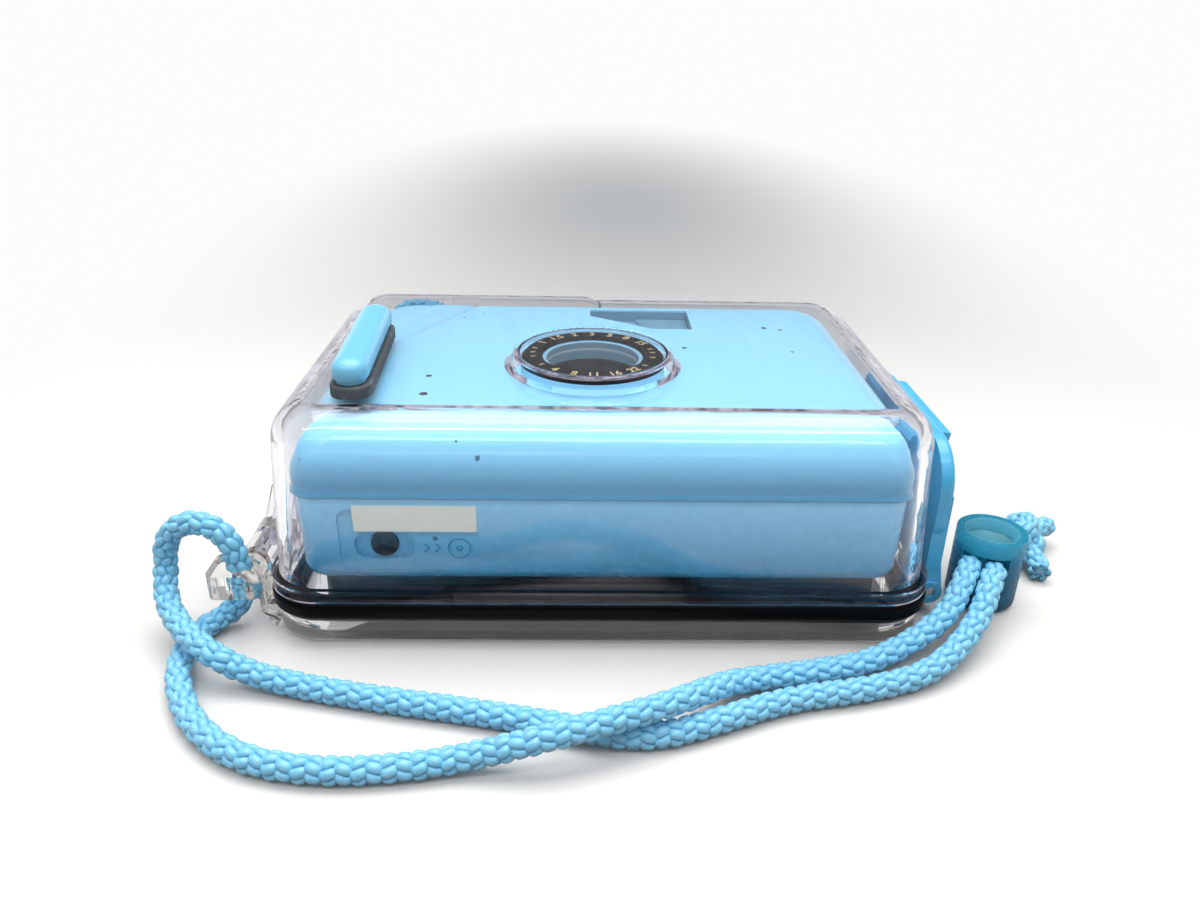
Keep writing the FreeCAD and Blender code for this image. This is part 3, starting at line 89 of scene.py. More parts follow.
def makePiece(name, surfaces, finish, sharp=None, flip=False):
    # surfaces: a list of (grid of points, closeRows, closeColumns, the pattern's lengths), in metres
    # sharp: the angle in degrees past which an edge stays crisp; flip: for grids that run the other way
    points, faces, uvs, start = [], [], [], 0
    for grid, closeRows, closeColumns, size in surfaces:
        rows, columns = grid.shape[:2]
        corners, places = quadFaces(rows, columns, closeRows, closeColumns, start)
        points.append(grid.reshape(-1, 3))
        faces.append(corners)
        uvs.append(places.reshape(-1, 2) * (np.array(size) / (rows, columns)))
        start += rows * columns
    mesh = bpy.data.meshes.new(name)
    mesh.from_pydata(np.concatenate(points), [], np.concatenate(faces))
    layer = mesh.uv_layers.new(name="surfaceRun")
    layer.data.foreach_set("uv", np.concatenate(uvs).astype(np.float32).ravel())
    if flip:
        mesh.flip_normals()
    mesh.shade_smooth()
    if sharp:
        mesh.set_sharp_from_angle(angle=math.radians(sharp))
    mesh.materials.append(finish)
    return addObject(name, mesh)


def dress(piece, body, slot, *replaced):
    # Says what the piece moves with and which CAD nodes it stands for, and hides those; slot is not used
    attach(piece, body)
    if replaced:
        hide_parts(*replaced)
    return piece


def linear(code):
    # An sRGB hex colour as the linear values that the shader sockets take
    parts = [int(code[i:i + 2], 16) / 255.0 for i in (1, 3, 5)]
    return tuple(c / 12.92 if c <= 0.04045 else ((c + 0.055) / 1.055) ** 2.4 for c in parts) + (1.0,)


def cells(size):
    # A pattern's scale: how many of its cells, each this many mm across, go into a metre
    return 1.0 / (size * mm)


# A Mix node's sockets go by number: two tones in and one out, or two plain values in
toneA, toneB, toneOut, valueA, valueB = 6, 7, 2, 2, 3
# Ray depths are whole numbers, so a half tells none from one, and one from two
noneYet, pastOne = 0.5, 1.5


def addNode(tree, kind, sockets=None, **settings):
    # A socket takes a plain value or another socket; a node given to it stands for its first output
    made = tree.nodes.new("ShaderNode" + kind)
    for key, value in settings.items():
        setattr(made, key, value)
    for key, value in (sockets or {}).items():
        if isinstance(value, bpy.types.Node):
            value = value.outputs[0]
        if isinstance(value, bpy.types.NodeSocket):
            tree.links.new(value, made.inputs[key])
        else:
            made.inputs[key].default_value = value
    return made


def newFinish(name, **shader):
    # A material with its shader and the Object coordinates that its patterns read
    finish = bpy.data.materials.new(name)
    finish.use_nodes = True
    tree = finish.node_tree
    surface = tree.nodes["Principled BSDF"]
    for key, value in shader.items():
        surface.inputs[key].default_value = value
    place = addNode(tree, "TexCoord").outputs["Object"]
    return finish, tree, surface, place


def addBump(tree, surface, height, strength, depth):
    # depth in mm
    bump = addNode(tree, "Bump", {"Height": height, "Strength": strength, "Distance": depth * mm})
    tree.links.new(bump.outputs["Normal"], surface.inputs["Normal"])


def insideBox(tree, place, low, high):
    # 1 where the place, in mm, lies inside the box, else 0: max |p - centre| / half < 1
    low, high = np.array(low, float) * mm, np.array(high, float) * mm
    moved = addNode(tree, "VectorMath", {0: place, 1: tuple(0.5 * (low + high))}, operation="SUBTRACT")
    scaled = addNode(tree, "VectorMath", {0: moved, 1: tuple(0.5 * (high - low))}, operation="DIVIDE")
    sized = addNode(tree, "VectorMath", {0: scaled}, operation="ABSOLUTE")
    parts = addNode(tree, "SeparateXYZ", {"Vector": sized})
    most = addNode(tree, "Math", {0: parts, 1: parts.outputs[1]}, operation="MAXIMUM")
    most = addNode(tree, "Math", {0: most, 1: parts.outputs[2]}, operation="MAXIMUM")
    return addNode(tree, "Math", {0: most, 1: 1.0}, operation="LESS_THAN").outputs[0]


# Finishes
# Clear polycarbonate, polished mould: sees through, faint grey-lilac at the edges, fine handling scratches
def clearPolycarbonate(name, tint, scratch, edge="#c9c6d2", edgeShare=0.35, index=1.585, paintedGlowTone="#b9b5c6"):
    finish, tree, surface, place = newFinish(name, **{"Base Color": linear(tint), "IOR": index,
                                                      "Transmission Weight": 1.0,
                                                      "Specular Tint": linear("#c4c2cc")})
    polish = 0.012
    stretched = addNode(tree, "Mapping", {"Vector": place, "Rotation": (0.3, 0.1, 0.7),
                                          "Scale": (1.0, 0.03, 0.4)})
    lines = addNode(tree, "TexNoise", {"Vector": stretched, "Scale": cells(0.3846), "Detail": 3.0})
    thin = addNode(tree, "MapRange", {"Value": lines.outputs["Fac"], "From Min": 0.64, "From Max": 0.74,
                                      "To Min": polish, "To Max": polish + scratch})
    tree.links.new(thin.outputs[0], surface.inputs["Roughness"])
    waves = addNode(tree, "TexNoise", {"Vector": place, "Scale": cells(18.18), "Detail": 1.0})
    addBump(tree, surface, waves.outputs["Fac"], 0.05, 0.6)
    # Moulded edges scatter a little lilac-grey light where the wall is seen along its length
    haze = addNode(tree, "BsdfTranslucent", {"Color": linear(edge)})
    facing = addNode(tree, "LayerWeight", {"Blend": 0.25})
    share = addNode(tree, "MapRange", {"Value": facing.outputs["Facing"], "From Min": 0.45, "From Max": 1.0,
                                       "To Max": edgeShare})
    clear = addNode(tree, "MixShader", {0: share, 1: surface, 2: haze})
    # Painted glow: what has turned back twice inside the wall, seen without a diffuse bounce, shows as a
    # soft grey emission in uneven streaks, standing in for light carried inside the wall as in a light guide
    ray = addNode(tree, "LightPath")
    kept = addNode(tree, "Math", {0: ray.outputs["Glossy Depth"], 1: pastOne}, operation="GREATER_THAN")
    looking = addNode(tree, "Math", {0: ray.outputs["Diffuse Depth"], 1: noneYet}, operation="LESS_THAN")
    paintedGlowShare = addNode(tree, "Math", {0: kept, 1: looking}, operation="MULTIPLY")
    streaks = addNode(tree, "Mapping", {"Vector": place, "Rotation": (0.5, 0.3, 0.2),
                                        "Scale": (1.0, 0.35, 1.6)})
    uneven = addNode(tree, "TexNoise", {"Vector": streaks, "Scale": cells(2.381)})
    strength = addNode(tree, "MapRange", {"Value": uneven.outputs["Fac"], "From Min": 0.36, "From Max": 0.62,
                                          "To Min": 0.22, "To Max": 1.25})
    glow = addNode(tree, "Emission", {"Color": linear(paintedGlowTone), "Strength": strength})
    lit = addNode(tree, "MixShader", {0: paintedGlowShare, 1: clear, 2: glow})
    # Lamp light goes straight through the thin wall on to what is inside
    passing = addNode(tree, "BsdfTransparent", {"Color": linear("#f4f5f8")})
    through = addNode(tree, "MixShader", {0: ray.outputs["Is Shadow Ray"], 1: lit, 2: passing})
    tree.links.new(through.outputs[0], tree.nodes["Material Output"].inputs["Surface"])
    return finish


# Moulded ABS: even satin gloss over a very fine orange peel, with a few dark specks of dust on it
def mouldedPlastic(name, hexColour, darker, roughness, peel=0.12, specks=0.0, level=0.5, region=None,
                   foot=None):
    # region: a box in mm with a tone of its own; foot: two heights in mm, and the tone that deepens from the
    # upper down to the lower
    finish, tree, surface, place = newFinish(name, **{"IOR": 1.54, "Specular IOR Level": level})
    drift = addNode(tree, "TexNoise", {"Vector": place, "Scale": cells(29.41)})
    shade = addNode(tree, "Mix", {"Factor": drift.outputs["Fac"], toneA: linear(hexColour),
                                  toneB: linear(darker)}, data_type="RGBA")
    colour = shade.outputs[toneOut]
    if specks:
        dust = addNode(tree, "TexVoronoi", {"Vector": place, "Scale": cells(5.882)})
        cloud = addNode(tree, "TexNoise", {"Vector": place, "Scale": cells(16.67)})
        size = addNode(tree, "MapRange", {"Value": cloud.outputs["Fac"], "From Min": 0.50, "From Max": 0.66,
                                          "To Max": specks})
        dot = addNode(tree, "Math", {0: dust.outputs["Distance"], 1: size}, operation="LESS_THAN")
        dusty = addNode(tree, "Mix", {"Factor": dot, toneA: colour, toneB: linear("#2a3238")},
                        data_type="RGBA")
        colour = dusty.outputs[toneOut]
    if region:
        low, high, tone = region
        toned = addNode(tree, "Mix", {"Factor": insideBox(tree, place, low, high), toneA: colour,
                                      toneB: linear(tone)}, data_type="RGBA")
        colour = toned.outputs[toneOut]
    # Painted shade: the colour deepens to the foot's tone from the upper height down to the lower
    if foot:
        low, high, tone = foot
        height = addNode(tree, "SeparateXYZ", {"Vector": place}).outputs["Z"]
        upper = addNode(tree, "MapRange", {"Value": height, "From Min": low * mm, "From Max": high * mm})
        toned = addNode(tree, "Mix", {"Factor": upper, toneA: linear(tone), toneB: colour},
                        data_type="RGBA")
        colour = toned.outputs[toneOut]
    tree.links.new(colour, surface.inputs["Base Color"])
    rub = addNode(tree, "TexNoise", {"Vector": place, "Scale": cells(4.762), "Detail": 3.0})
    gloss = addNode(tree, "MapRange", {"Value": rub.outputs["Fac"], "To Min": roughness - 0.05,
                                       "To Max": roughness + 0.07})
    tree.links.new(gloss.outputs[0], surface.inputs["Roughness"])
    grain = addNode(tree, "TexNoise", {"Vector": place, "Scale": cells(0.6667)})
    addBump(tree, surface, grain.outputs["Fac"], peel, 0.04)
    return finish


# Moulded rubber: soft and dull, with a dusty bloom in clouds over it; grain in mm
def mouldedRubber(name, hexColour, bloom, roughness, grain=1.111, strength=0.3, level=0.28):
    finish, tree, surface, place = newFinish(name, **{"IOR": 1.52, "Roughness": roughness,
                                                      "Specular IOR Level": level})
    cloud = addNode(tree, "TexNoise", {"Vector": place, "Scale": cells(8.333), "Detail": 5.0,
                                       "Roughness": 0.7})
    amount = addNode(tree, "MapRange", {"Value": cloud.outputs["Fac"], "From Min": 0.45, "From Max": 0.8})
    shade = addNode(tree, "Mix", {"Factor": amount, toneA: linear(hexColour),
                                  toneB: linear(bloom)}, data_type="RGBA")
    tree.links.new(shade.outputs[toneOut], surface.inputs["Base Color"])
    pores = addNode(tree, "TexNoise", {"Vector": place, "Scale": cells(grain), "Detail": 4.0})
    addBump(tree, surface, pores.outputs["Fac"], strength, 0.08)
    return finish


# Turned stainless steel: bright, with fine uneven tool marks that break up its gloss
def turnedSteel(name):
    finish, tree, surface, place = newFinish(name, **{"Base Color": linear("#c9c8c4"), "Metallic": 1.0})
    marks = addNode(tree, "TexNoise", {"Vector": place, "Scale": cells(0.4167)})
    gloss = addNode(tree, "MapRange", {"Value": marks.outputs["Fac"], "To Min": 0.2, "To Max": 0.38})
    tree.links.new(gloss.outputs[0], surface.inputs["Roughness"])
    addBump(tree, surface, marks.outputs["Fac"], 0.1, 0.02)
    return finish


# Coated lens glass: dark grey under a thin clear gloss, with little to be seen through it
def coatedGlass(name, tint, roughness, clear):
    finish, tree, surface, place = newFinish(name, **{"Base Color": linear(tint), "IOR": 1.52,
                                                      "Coat Weight": 0.3, "Transmission Weight": clear})
    wiped = addNode(tree, "TexNoise", {"Vector": place, "Scale": cells(3.333)})
    gloss = addNode(tree, "MapRange", {"Value": wiped.outputs["Fac"], "To Min": roughness,
                                       "To Max": roughness + 0.04})
    tree.links.new(gloss.outputs[0], surface.inputs["Roughness"])
    return finish


# Braided polypropylene yarn: plump lumps of fine glossy filaments running along each strand
def braidedYarn(name):
    finish, tree, surface, place = newFinish(name, **{"IOR": 1.49, "Roughness": 0.34,
                                                      "Specular IOR Level": 0.85,
                                                      "Sheen Weight": 0.25, "Sheen Roughness": 0.3,
                                                      "Subsurface Weight": 0.12,
                                                      "Subsurface Scale": 0.6 * mm})
    run = addNode(tree, "UVMap", uv_map="surfaceRun").outputs[0]
    # Filaments are about 0.04 mm and drawn 0.11 mm wide so that they show; u runs along, v round the strand
    stretched = addNode(tree, "Mapping", {"Vector": run, "Scale": (cells(1.111), cells(0.1111), 1.0)})
    threads = addNode(tree, "TexNoise", {"Vector": stretched, "Scale": 1.0, "Distortion": 0.4})
    patchy = addNode(tree, "TexNoise", {"Vector": place, "Scale": cells(3.846)})
    deep = addNode(tree, "Mix", {"Factor": patchy.outputs["Fac"], toneA: linear("#6acaf2"),
                                 toneB: linear("#4fb5e4")}, data_type="RGBA")
    shade = addNode(tree, "Mix", {"Factor": threads.outputs["Fac"], toneA: deep.outputs[toneOut],
                                  toneB: linear("#a2e4fd")}, data_type="RGBA")
    tree.links.new(shade.outputs[toneOut], surface.inputs["Base Color"])
    addBump(tree, surface, threads.outputs["Fac"], 0.45, 0.1)
    return finish


# Tinted polypropylene: glows with the light behind it and shows only soft forms through it
def tintedPolypropylene(name, low, high, bore=None, clear=0.5):
    # low and high: its tones at the foot and near the rim, a painted shade that darkens it downward; bore:
    # x, y and radius in mm of an inside painted paler, as lit
    finish, tree, surface, place = newFinish(name, **{"IOR": 1.49, "Transmission Weight": clear,
                                                      "Subsurface Weight": 0.25,
                                                      "Subsurface Scale": 3.0 * mm})
    cloud = addNode(tree, "TexNoise", {"Vector": place, "Scale": cells(2.5), "Detail": 3.0})
    frost = addNode(tree, "MapRange", {"Value": cloud.outputs["Fac"], "To Min": 0.20, "To Max": 0.32})
    tree.links.new(frost.outputs[0], surface.inputs["Roughness"])
    addBump(tree, surface, cloud.outputs["Fac"], 0.08, 0.1)
    # Painted shade: darker towards the foot, paler towards the rim
    height = addNode(tree, "SeparateXYZ", {"Vector": place}).outputs["Z"]
    upper = addNode(tree, "MapRange", {"Value": height, "From Min": 2.0 * mm, "From Max": 15.0 * mm})
    shade = addNode(tree, "Mix", {"Factor": upper, toneA: linear(low), toneB: linear(high)},
                    data_type="RGBA")
    # Painted light: inside the bore the tone turns paler, as a lit inner wall
    if bore:
        axis = addNode(tree, "Mapping", {"Vector": place, "Location": (-bore[0] * mm, -bore[1] * mm, 0.0),
                                         "Scale": (1.0, 1.0, 0.0)})
        reach = addNode(tree, "VectorMath", {0: axis}, operation="LENGTH")
        inner = addNode(tree, "Math", {0: reach.outputs["Value"], 1: bore[2] * mm}, operation="LESS_THAN")
        shade = addNode(tree, "Mix", {"Factor": inner, toneA: shade.outputs[toneOut],
                                      toneB: linear("#c3e8f0")}, data_type="RGBA")
    tree.links.new(shade.outputs[toneOut], surface.inputs["Base Color"])
    through = addNode(tree, "BsdfTranslucent", {"Color": shade.outputs[toneOut]})
    both = addNode(tree, "MixShader", {0: 0.55, 1: surface, 2: through})
    tree.links.new(both.outputs[0], tree.nodes["Material Output"].inputs["Surface"])
    return finish


# Moulded ABS cone round the lens: pale blue with painted highlights along its step edges, and a dark baffle
# next to the glass
def steppedCone(name, baffleTop, stepRise):
    finish, tree, surface, place = newFinish(name, **{"IOR": 1.54, "Roughness": 0.3})
    height = addNode(tree, "SeparateXYZ", {"Vector": place}).outputs["Z"]
    count = addNode(tree, "Math", {0: height, 1: cells(stepRise)}, operation="MULTIPLY")
    step = addNode(tree, "Math", {0: count}, operation="FRACT")
    # Painted highlight: the top of each step turns pale, as light catches its edge
    lit = addNode(tree, "MapRange", {"Value": step, "From Min": 0.72, "From Max": 0.9})
    shade = addNode(tree, "Mix", {"Factor": lit, toneA: linear("#8fbfd6"),
                                  toneB: linear("#dcf4fb")}, data_type="RGBA")
    baffle = addNode(tree, "Math", {0: height, 1: baffleTop * mm}, operation="LESS_THAN")
    toned = addNode(tree, "Mix", {"Factor": baffle, toneA: shade.outputs[toneOut],
                                  toneB: linear("#34393c")}, data_type="RGBA")
    tree.links.new(toned.outputs[toneOut], surface.inputs["Base Color"])
    addBump(tree, surface, step, 0.5, 0.2)
    return finish


# Gold hot foil: a pale gold print, worn uneven
def goldFoil(name):
    finish, tree, surface, place = newFinish(name, **{"Metallic": 0.15, "Roughness": 0.5})
    worn = addNode(tree, "TexNoise", {"Vector": place, "Scale": cells(0.7143), "Detail": 3.0})
    shade = addNode(tree, "Mix", {"Factor": worn.outputs["Fac"], toneA: linear("#c9b06a"),
                                  toneB: linear("#f4e6b4")}, data_type="RGBA")
    tree.links.new(shade.outputs[toneOut], surface.inputs["Base Color"])
    return finish


# Label stock: pale satin paper with a faint fibre grain
def labelStock(name):
    finish, tree, surface, place = newFinish(name, **{"IOR": 1.45, "Roughness": 0.42})
    fibre = addNode(tree, "TexNoise", {"Vector": place, "Scale": cells(0.5556), "Detail": 4.0})
    shade = addNode(tree, "Mix", {"Factor": fibre.outputs["Fac"], toneA: linear("#e2e8d8"),
                                  toneB: linear("#f4f6ea")}, data_type="RGBA")
    tree.links.new(shade.outputs[toneOut], surface.inputs["Base Color"])
    addBump(tree, surface, fibre.outputs["Fac"], 0.15, 0.03)
    return finish


clearShell = clearPolycarbonate("polycarbonateClear", "#fbfbfe", scratch=0.08)
# The base's painted glow inside its wall is a paler, warmer grey
clearBase = clearPolycarbonate("polycarbonateBase", "#fdfcfa", scratch=0.06, paintedGlowTone="#cdcac8")
clearWindow = clearPolycarbonate("polycarbonateWindow", "#fafafc", scratch=0.01, edgeShare=0.2)
# The arm inside the case bends light hardly at all, so that the cover shows through it
clearArm = clearPolycarbonate("polycarbonateArm", "#ffffff", scratch=0.01, edgeShare=0.0, index=1.02)
sealRubber = mouldedRubber("nitrileRubberBlack", "#010101", "#050506", 0.35, level=0.08)
padRubber = mouldedRubber("siliconeRubberGrey", "#565c60", "#969b9d", 0.62, grain=2.381, strength=0.7)
# The cover's darker region is painted shade on the floor of the finder's recess
# The cover darkens down its lower rounding in painted shade (foot)
skyPlastic = mouldedPlastic("absSkyBlue", "#9fe3ff", "#98defd", 0.14, peel=0.04, specks=0.14, level=0.42,
                            foot=(31.0, 39.0, "#2b93bd"),
                            region=((-3.0, 17.0, 36.0), (21.0, 32.4, 40.4), "#76a5bb"))
# The body darkens towards its lower edge in painted shade (foot)
bodyPlastic = mouldedPlastic("absSkyBlueBody", "#8ed6f8", "#88d2f6", 0.26, peel=0.06, specks=0.14,
                             level=0.35, foot=(11.0, 27.0, "#2e8fba"))
bluePlastic = mouldedPlastic("absCyanBlue", "#5cc2ee", "#50b6e4", 0.24, peel=0.03)
leverPlastic = mouldedPlastic("absPaleCyan", "#8bdafa", "#77cef4", 0.22, peel=0.02)
blackPlastic = mouldedPlastic("absBlack", "#040405", "#090a0b", 0.4, level=0.25)
greyPlastic = mouldedPlastic("absGrey", "#2b2e31", "#34383b", 0.45)
# The ring is black on its face and sky blue down its side
ringPlastic = mouldedPlastic("absBlackRing", "#020202", "#040405", 0.5, level=0.04,
                             region=((-20.0, -30.0, 38.0), (20.0, 10.0, 44.55), "#9fe3ff"))
steel = turnedSteel("stainlessSteelTurned")
lensGlass = coatedGlass("opticalGlassCoated", "#33383c", roughness=0.2, clear=0.12)
# The finder window's milky acrylic is given the same darker tone as the recess floor, painted shade
finderGlass = mouldedPlastic("acrylicFinderMilky", "#76a5bb", "#6f9db3", 0.2)
labelPaper = labelStock("labelStockPale")
cordYarn = braidedYarn("polypropyleneBraid")
# The lock and its plunger darken towards their feet in painted shade, and the lock's bore is painted paler
# as lit
lockPlastic = tintedPolypropylene("polypropyleneTeal", "#2197bc", "#55c4dd", bore=(75.1, -21.0, 5.0))
plungerPlastic = tintedPolypropylene("polypropyleneTealPale", "#3fa9c0", "#84d2de", clear=0.15)
coneFinish = steppedCone("absConeSteps", baffleTop=40.9, stepRise=2.4)
foilGold = goldFoil("hotFoilGold")
print("stage: finishes made")


# Wrist cord: sizes in mm; yarnRun and coreRun are the pattern's length round a yarn and round the core
wristCord = dict(yarns=6, lead=26.0, core=1.26, middle=1.34, weave=0.32, width=1.36, thickness=0.94,
                 swell=0.25, dwell=1.4, step=0.20, sides=7, yarnRun=6.0, coreRun=8.0)
# The height of the cord's middle where it lies on the floor
floorZ = 2.25
upperRoute = [(-64.6, -32.5, 11.6), (-64.6, -32.5, 17.0), (-68.0, -31.8, 21.2), (-73.4, -30.7, 21.7),
              (-77.9, -29.8, 17.8), (-78.9, -29.6, 11.9), (-77.8, -34.6, 7.6), (-72.1, -42.3, 6.8),
              (-65.3, -48.6, 6.8), (-59.6, -49.2, 3.4), (-50.2, -51.4, floorZ), (-36.5, -54.6, floorZ),
              (-21.6, -57.4, floorZ), (-7.2, -60.7, floorZ), (6.4, -64.0, floorZ), (18.6, -59.4, floorZ),
              (30.6, -54.2, floorZ), (44.8, -51.9, floorZ), (57.4, -47.5, 2.6), (67.4, -38.3, 6.2),
              (71.2, -32.15, 10.0), (74.2, -26.95, 10.0)]
lowerRoute = [(-64.6, -32.5, 11.2), (-64.6, -32.5, 6.6), (-68.2, -31.8, 3.0), (-71.9, -35.8, floorZ),
              (-72.7, -43.3, floorZ), (-70.2, -51.7, floorZ), (-64.1, -61.2, floorZ), (-54.6, -68.3, floorZ),
              (-42.2, -70.7, floorZ), (-30.6, -69.9, floorZ), (-20.5, -68.1, 2.7), (-9.4, -68.6, 6.8),
              (1.3, -64.9, 7.1), (11.6, -60.3, 6.9), (19.4, -53.2, 4.4), (25.8, -49.1, floorZ),
              (35.0, -47.5, floorZ), (47.5, -44.8, 2.4), (61.6, -37.4, 5.8), (67.4, -29.95, 10.0),
              (70.4, -24.75, 10.0)]


def meshOf(name, curve):
    # A curve's or a text's plain mesh, and its points as an array
    carrier = addObject(name, curve)
    bpy.context.view_layer.update()
    mesh = bpy.data.meshes.new_from_object(carrier)
    points = np.empty(len(mesh.vertices) * 3)
    mesh.vertices.foreach_get("co", points)
    bpy.data.objects.remove(carrier)
    return mesh, points.reshape(-1, 3)


def linePoints(name, route):
    # The route's smooth line: a NURBS spline with the route's points as its control points
    line = bpy.data.curves.new(name + "Line", "CURVE")
    line.dimensions = "3D"
    spline = line.splines.new("NURBS")
    spline.points.add(len(route) - 1)
    for point, place in zip(spline.points, route):
        point.co = (place[0] * mm, place[1] * mm, place[2] * mm, 1.0)
    spline.order_u = 3
    spline.use_endpoint_u = True
    spline.resolution_u = 16
    return meshOf(name + "Line", line)[1]


def evenly(points, step):
    # The same line with points an even step apart
    run = np.concatenate([[0.0], np.cumsum(np.linalg.norm(np.diff(points, axis=0), axis=1))])
    count = int(run[-1] / step) + 1
    places = np.linspace(0.0, run[-1], count)
    return np.stack([np.interp(places, run, points[:, axis]) for axis in range(3)], 1), places


def carriedAxes(points):
    # A side and an up direction carried along the line without twisting; the first side is square to the
    # line's start and to a direction that no cord starts in
    along = np.gradient(points, axis=0)
    along /= np.linalg.norm(along, axis=1)[:, None]
    side = np.empty_like(along)
    side[0] = np.cross(along[0], (0.31, 0.95, 0.05))
    side[0] /= np.linalg.norm(side[0])
    for k in range(1, len(points)):
        leant = side[k - 1] - along[k] * np.dot(side[k - 1], along[k])
        side[k] = leant / np.linalg.norm(leant)
    return along, side, np.cross(along, side)


def braidSurfaces(points, cord):
    # n = 6 yarns each way: angle = +-2 pi s / lead, radius = middle +- weave * over, where
    # over = tanh(dwell * cos(2 n pi s / lead)) / tanh(dwell), so each stays up for most of a crossing;
    # each yarn is an oval tube, a little fatter where it is up, and all lie over a plain core
    line, run = evenly(points, cord["step"] * mm)
    along, side, up = carriedAxes(line)
    phase = run / (cord["lead"] * mm / (2 * cord["yarns"])) * math.pi
    girth = np.linspace(0.0, 2.0 * math.pi, cord["sides"], endpoint=False)
    cosine, sine = np.cos(girth)[None, :, None], np.sin(girth)[None, :, None]
    slope = math.atan(2.0 * math.pi * cord["middle"] / cord["lead"])
    surfaces = []
    for way in (1.0, -1.0):
        over = way * np.tanh(cord["dwell"] * np.cos(phase)) / math.tanh(cord["dwell"])
        reach = (cord["middle"] + cord["weave"] * over) * mm
        half = 0.5 * mm * (1.0 + cord["swell"] * over)
        for k in range(cord["yarns"]):
            angle = way * 2.0 * math.pi * run / (cord["lead"] * mm) + 2.0 * math.pi * k / cord["yarns"]
            out = np.cos(angle)[:, None] * side + np.sin(angle)[:, None] * up
            across = -np.sin(angle)[:, None] * side + np.cos(angle)[:, None] * up
            wide = math.cos(slope) * across - way * math.sin(slope) * along
            grid = (line + out * reach[:, None])[:, None, :] \
                + (cosine * out[:, None, :]) * (cord["thickness"] * half)[:, None, None] \
                + (sine * wide[:, None, :]) * (cord["width"] * half)[:, None, None]
            surfaces.append((capped(grid), False, True, (run[-1] / math.cos(slope), cord["yarnRun"] * mm)))
    core = line[:, None, :] + cord["core"] * mm * (cosine * side[:, None, :] + sine * up[:, None, :])
    surfaces.append((capped(core), False, True, (run[-1], cord["coreRun"] * mm)))
    return surfaces


def capped(grid):
    # Closes a tube: its first and last ring drawn together to their middles
    first = np.repeat(grid[:1].mean(axis=1, keepdims=True), grid.shape[1], axis=1)
    last = np.repeat(grid[-1:].mean(axis=1, keepdims=True), grid.shape[1], axis=1)
    return np.concatenate([first, grid, last])


def lineLength(points):
    return float(np.linalg.norm(np.diff(points, axis=0), axis=1).sum())


upperLine = linePoints("cordUpper", upperRoute)
lowerLine = linePoints("cordLower", lowerRoute)
cordUpper = dress(makePiece("cordUpper", braidSurfaces(upperLine, wristCord), cordYarn, flip=True),
                  "case", "cord_braid", "cord_upper")
cordLower = dress(makePiece("cordLower", braidSurfaces(lowerLine, wristCord), cordYarn, flip=True),
                  "case", "cord_braid", "cord_lower")
print("stage: cords braided,", round(lineLength(upperLine), 4), round(lineLength(lowerLine), 4))

# Knot behind the lock and the loose ends that stand out of it
knotCord = dict(wristCord, step=0.22)
knotRoute = [(79.0, -14.4, 9.6), (82.0, -10.6, 8.4), (86.2, -7.6, 7.4), (90.6, -6.0, 6.4), (91.8, -8.6, 4.2),
             (88.4, -10.2, 3.0), (85.2, -7.2, 3.2), (86.0, -3.4, 4.6), (89.4, -2.6, 6.8), (90.8, -5.2, 8.4),
             (88.6, -8.2, 8.2), (87.2, -9.6, 5.6)]
tailRoutes = [[(88.6, -6.4, 5.4), (91.6, -4.6, 5.6), (95.2, -1.8, 5.0), (98.0, 0.6, 4.0)],
              [(87.6, -8.0, 4.6), (89.4, -10.4, 3.8), (90.2, -13.2, 2.8), (89.4, -15.8, 2.4)]]
knotSurfaces = braidSurfaces(linePoints("cordKnot", knotRoute), knotCord)
cordKnot = dress(makePiece("cordKnot", knotSurfaces, cordYarn, flip=True), "case", "cord_braid", "cord_knot")
tailSurfaces = []
for route in tailRoutes:
    tailSurfaces += braidSurfaces(linePoints("cordTail", route), knotCord)
cordTails = dress(makePiece("cordTails", tailSurfaces, cordYarn, flip=True),
                  "case", "cord_braid", "cord_tails")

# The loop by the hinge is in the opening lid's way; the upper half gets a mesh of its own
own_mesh(cordUpper)


# Small moulded forms
def revolved(profile, place, count=64, start=0.0, sweep=2.0 * math.pi):
    # A profile of (radius, height) turned about an upright axis, or part of a turn:
    # x = place x + radius * cos(angle), y = place y + radius * sin(angle), z = height
    profile = np.array(profile) * mm
    whole = sweep == 2.0 * math.pi
    angle = start + np.linspace(0.0, sweep, count, endpoint=not whole)
    return np.stack([place[0] * mm + profile[:, 0][:, None] * np.cos(angle),
                     place[1] * mm + profile[:, 0][:, None] * np.sin(angle),
                     np.broadcast_to(profile[:, 1][:, None], (len(profile), count))], 2)


def roundedLoop(halfX, halfY, corner, count=20):
    # A rounded rectangle's points, one quarter circle for each corner, with the way out from each point
    places, outs = [], []
    for quarter, (sx, sy) in enumerate(((1, 1), (-1, 1), (-1, -1), (1, -1))):
        angle = np.linspace(0.5 * math.pi * quarter, 0.5 * math.pi * (quarter + 1), count)
        out = np.stack([np.cos(angle), np.sin(angle)], 1)
        places.append(np.array([sx * (halfX - corner), sy * (halfY - corner)]) + corner * out)
        outs.append(out)
    return np.concatenate(places), np.concatenate(outs)


# The front cover's lower edge: a slim rolled lip just over the parting line; its profile is how far it
# stands out, and its height over low
lip = dict(halfX=54.0, halfY=34.5, corner=5.0, low=28.55,
           profile=((-0.4, 0.0), (-0.05, 0.0), (0.18, 0.1), (0.3, 0.35), (0.3, 0.6), (0.14, 0.95),
                    (-0.05, 1.3), (-0.4, 1.4)))


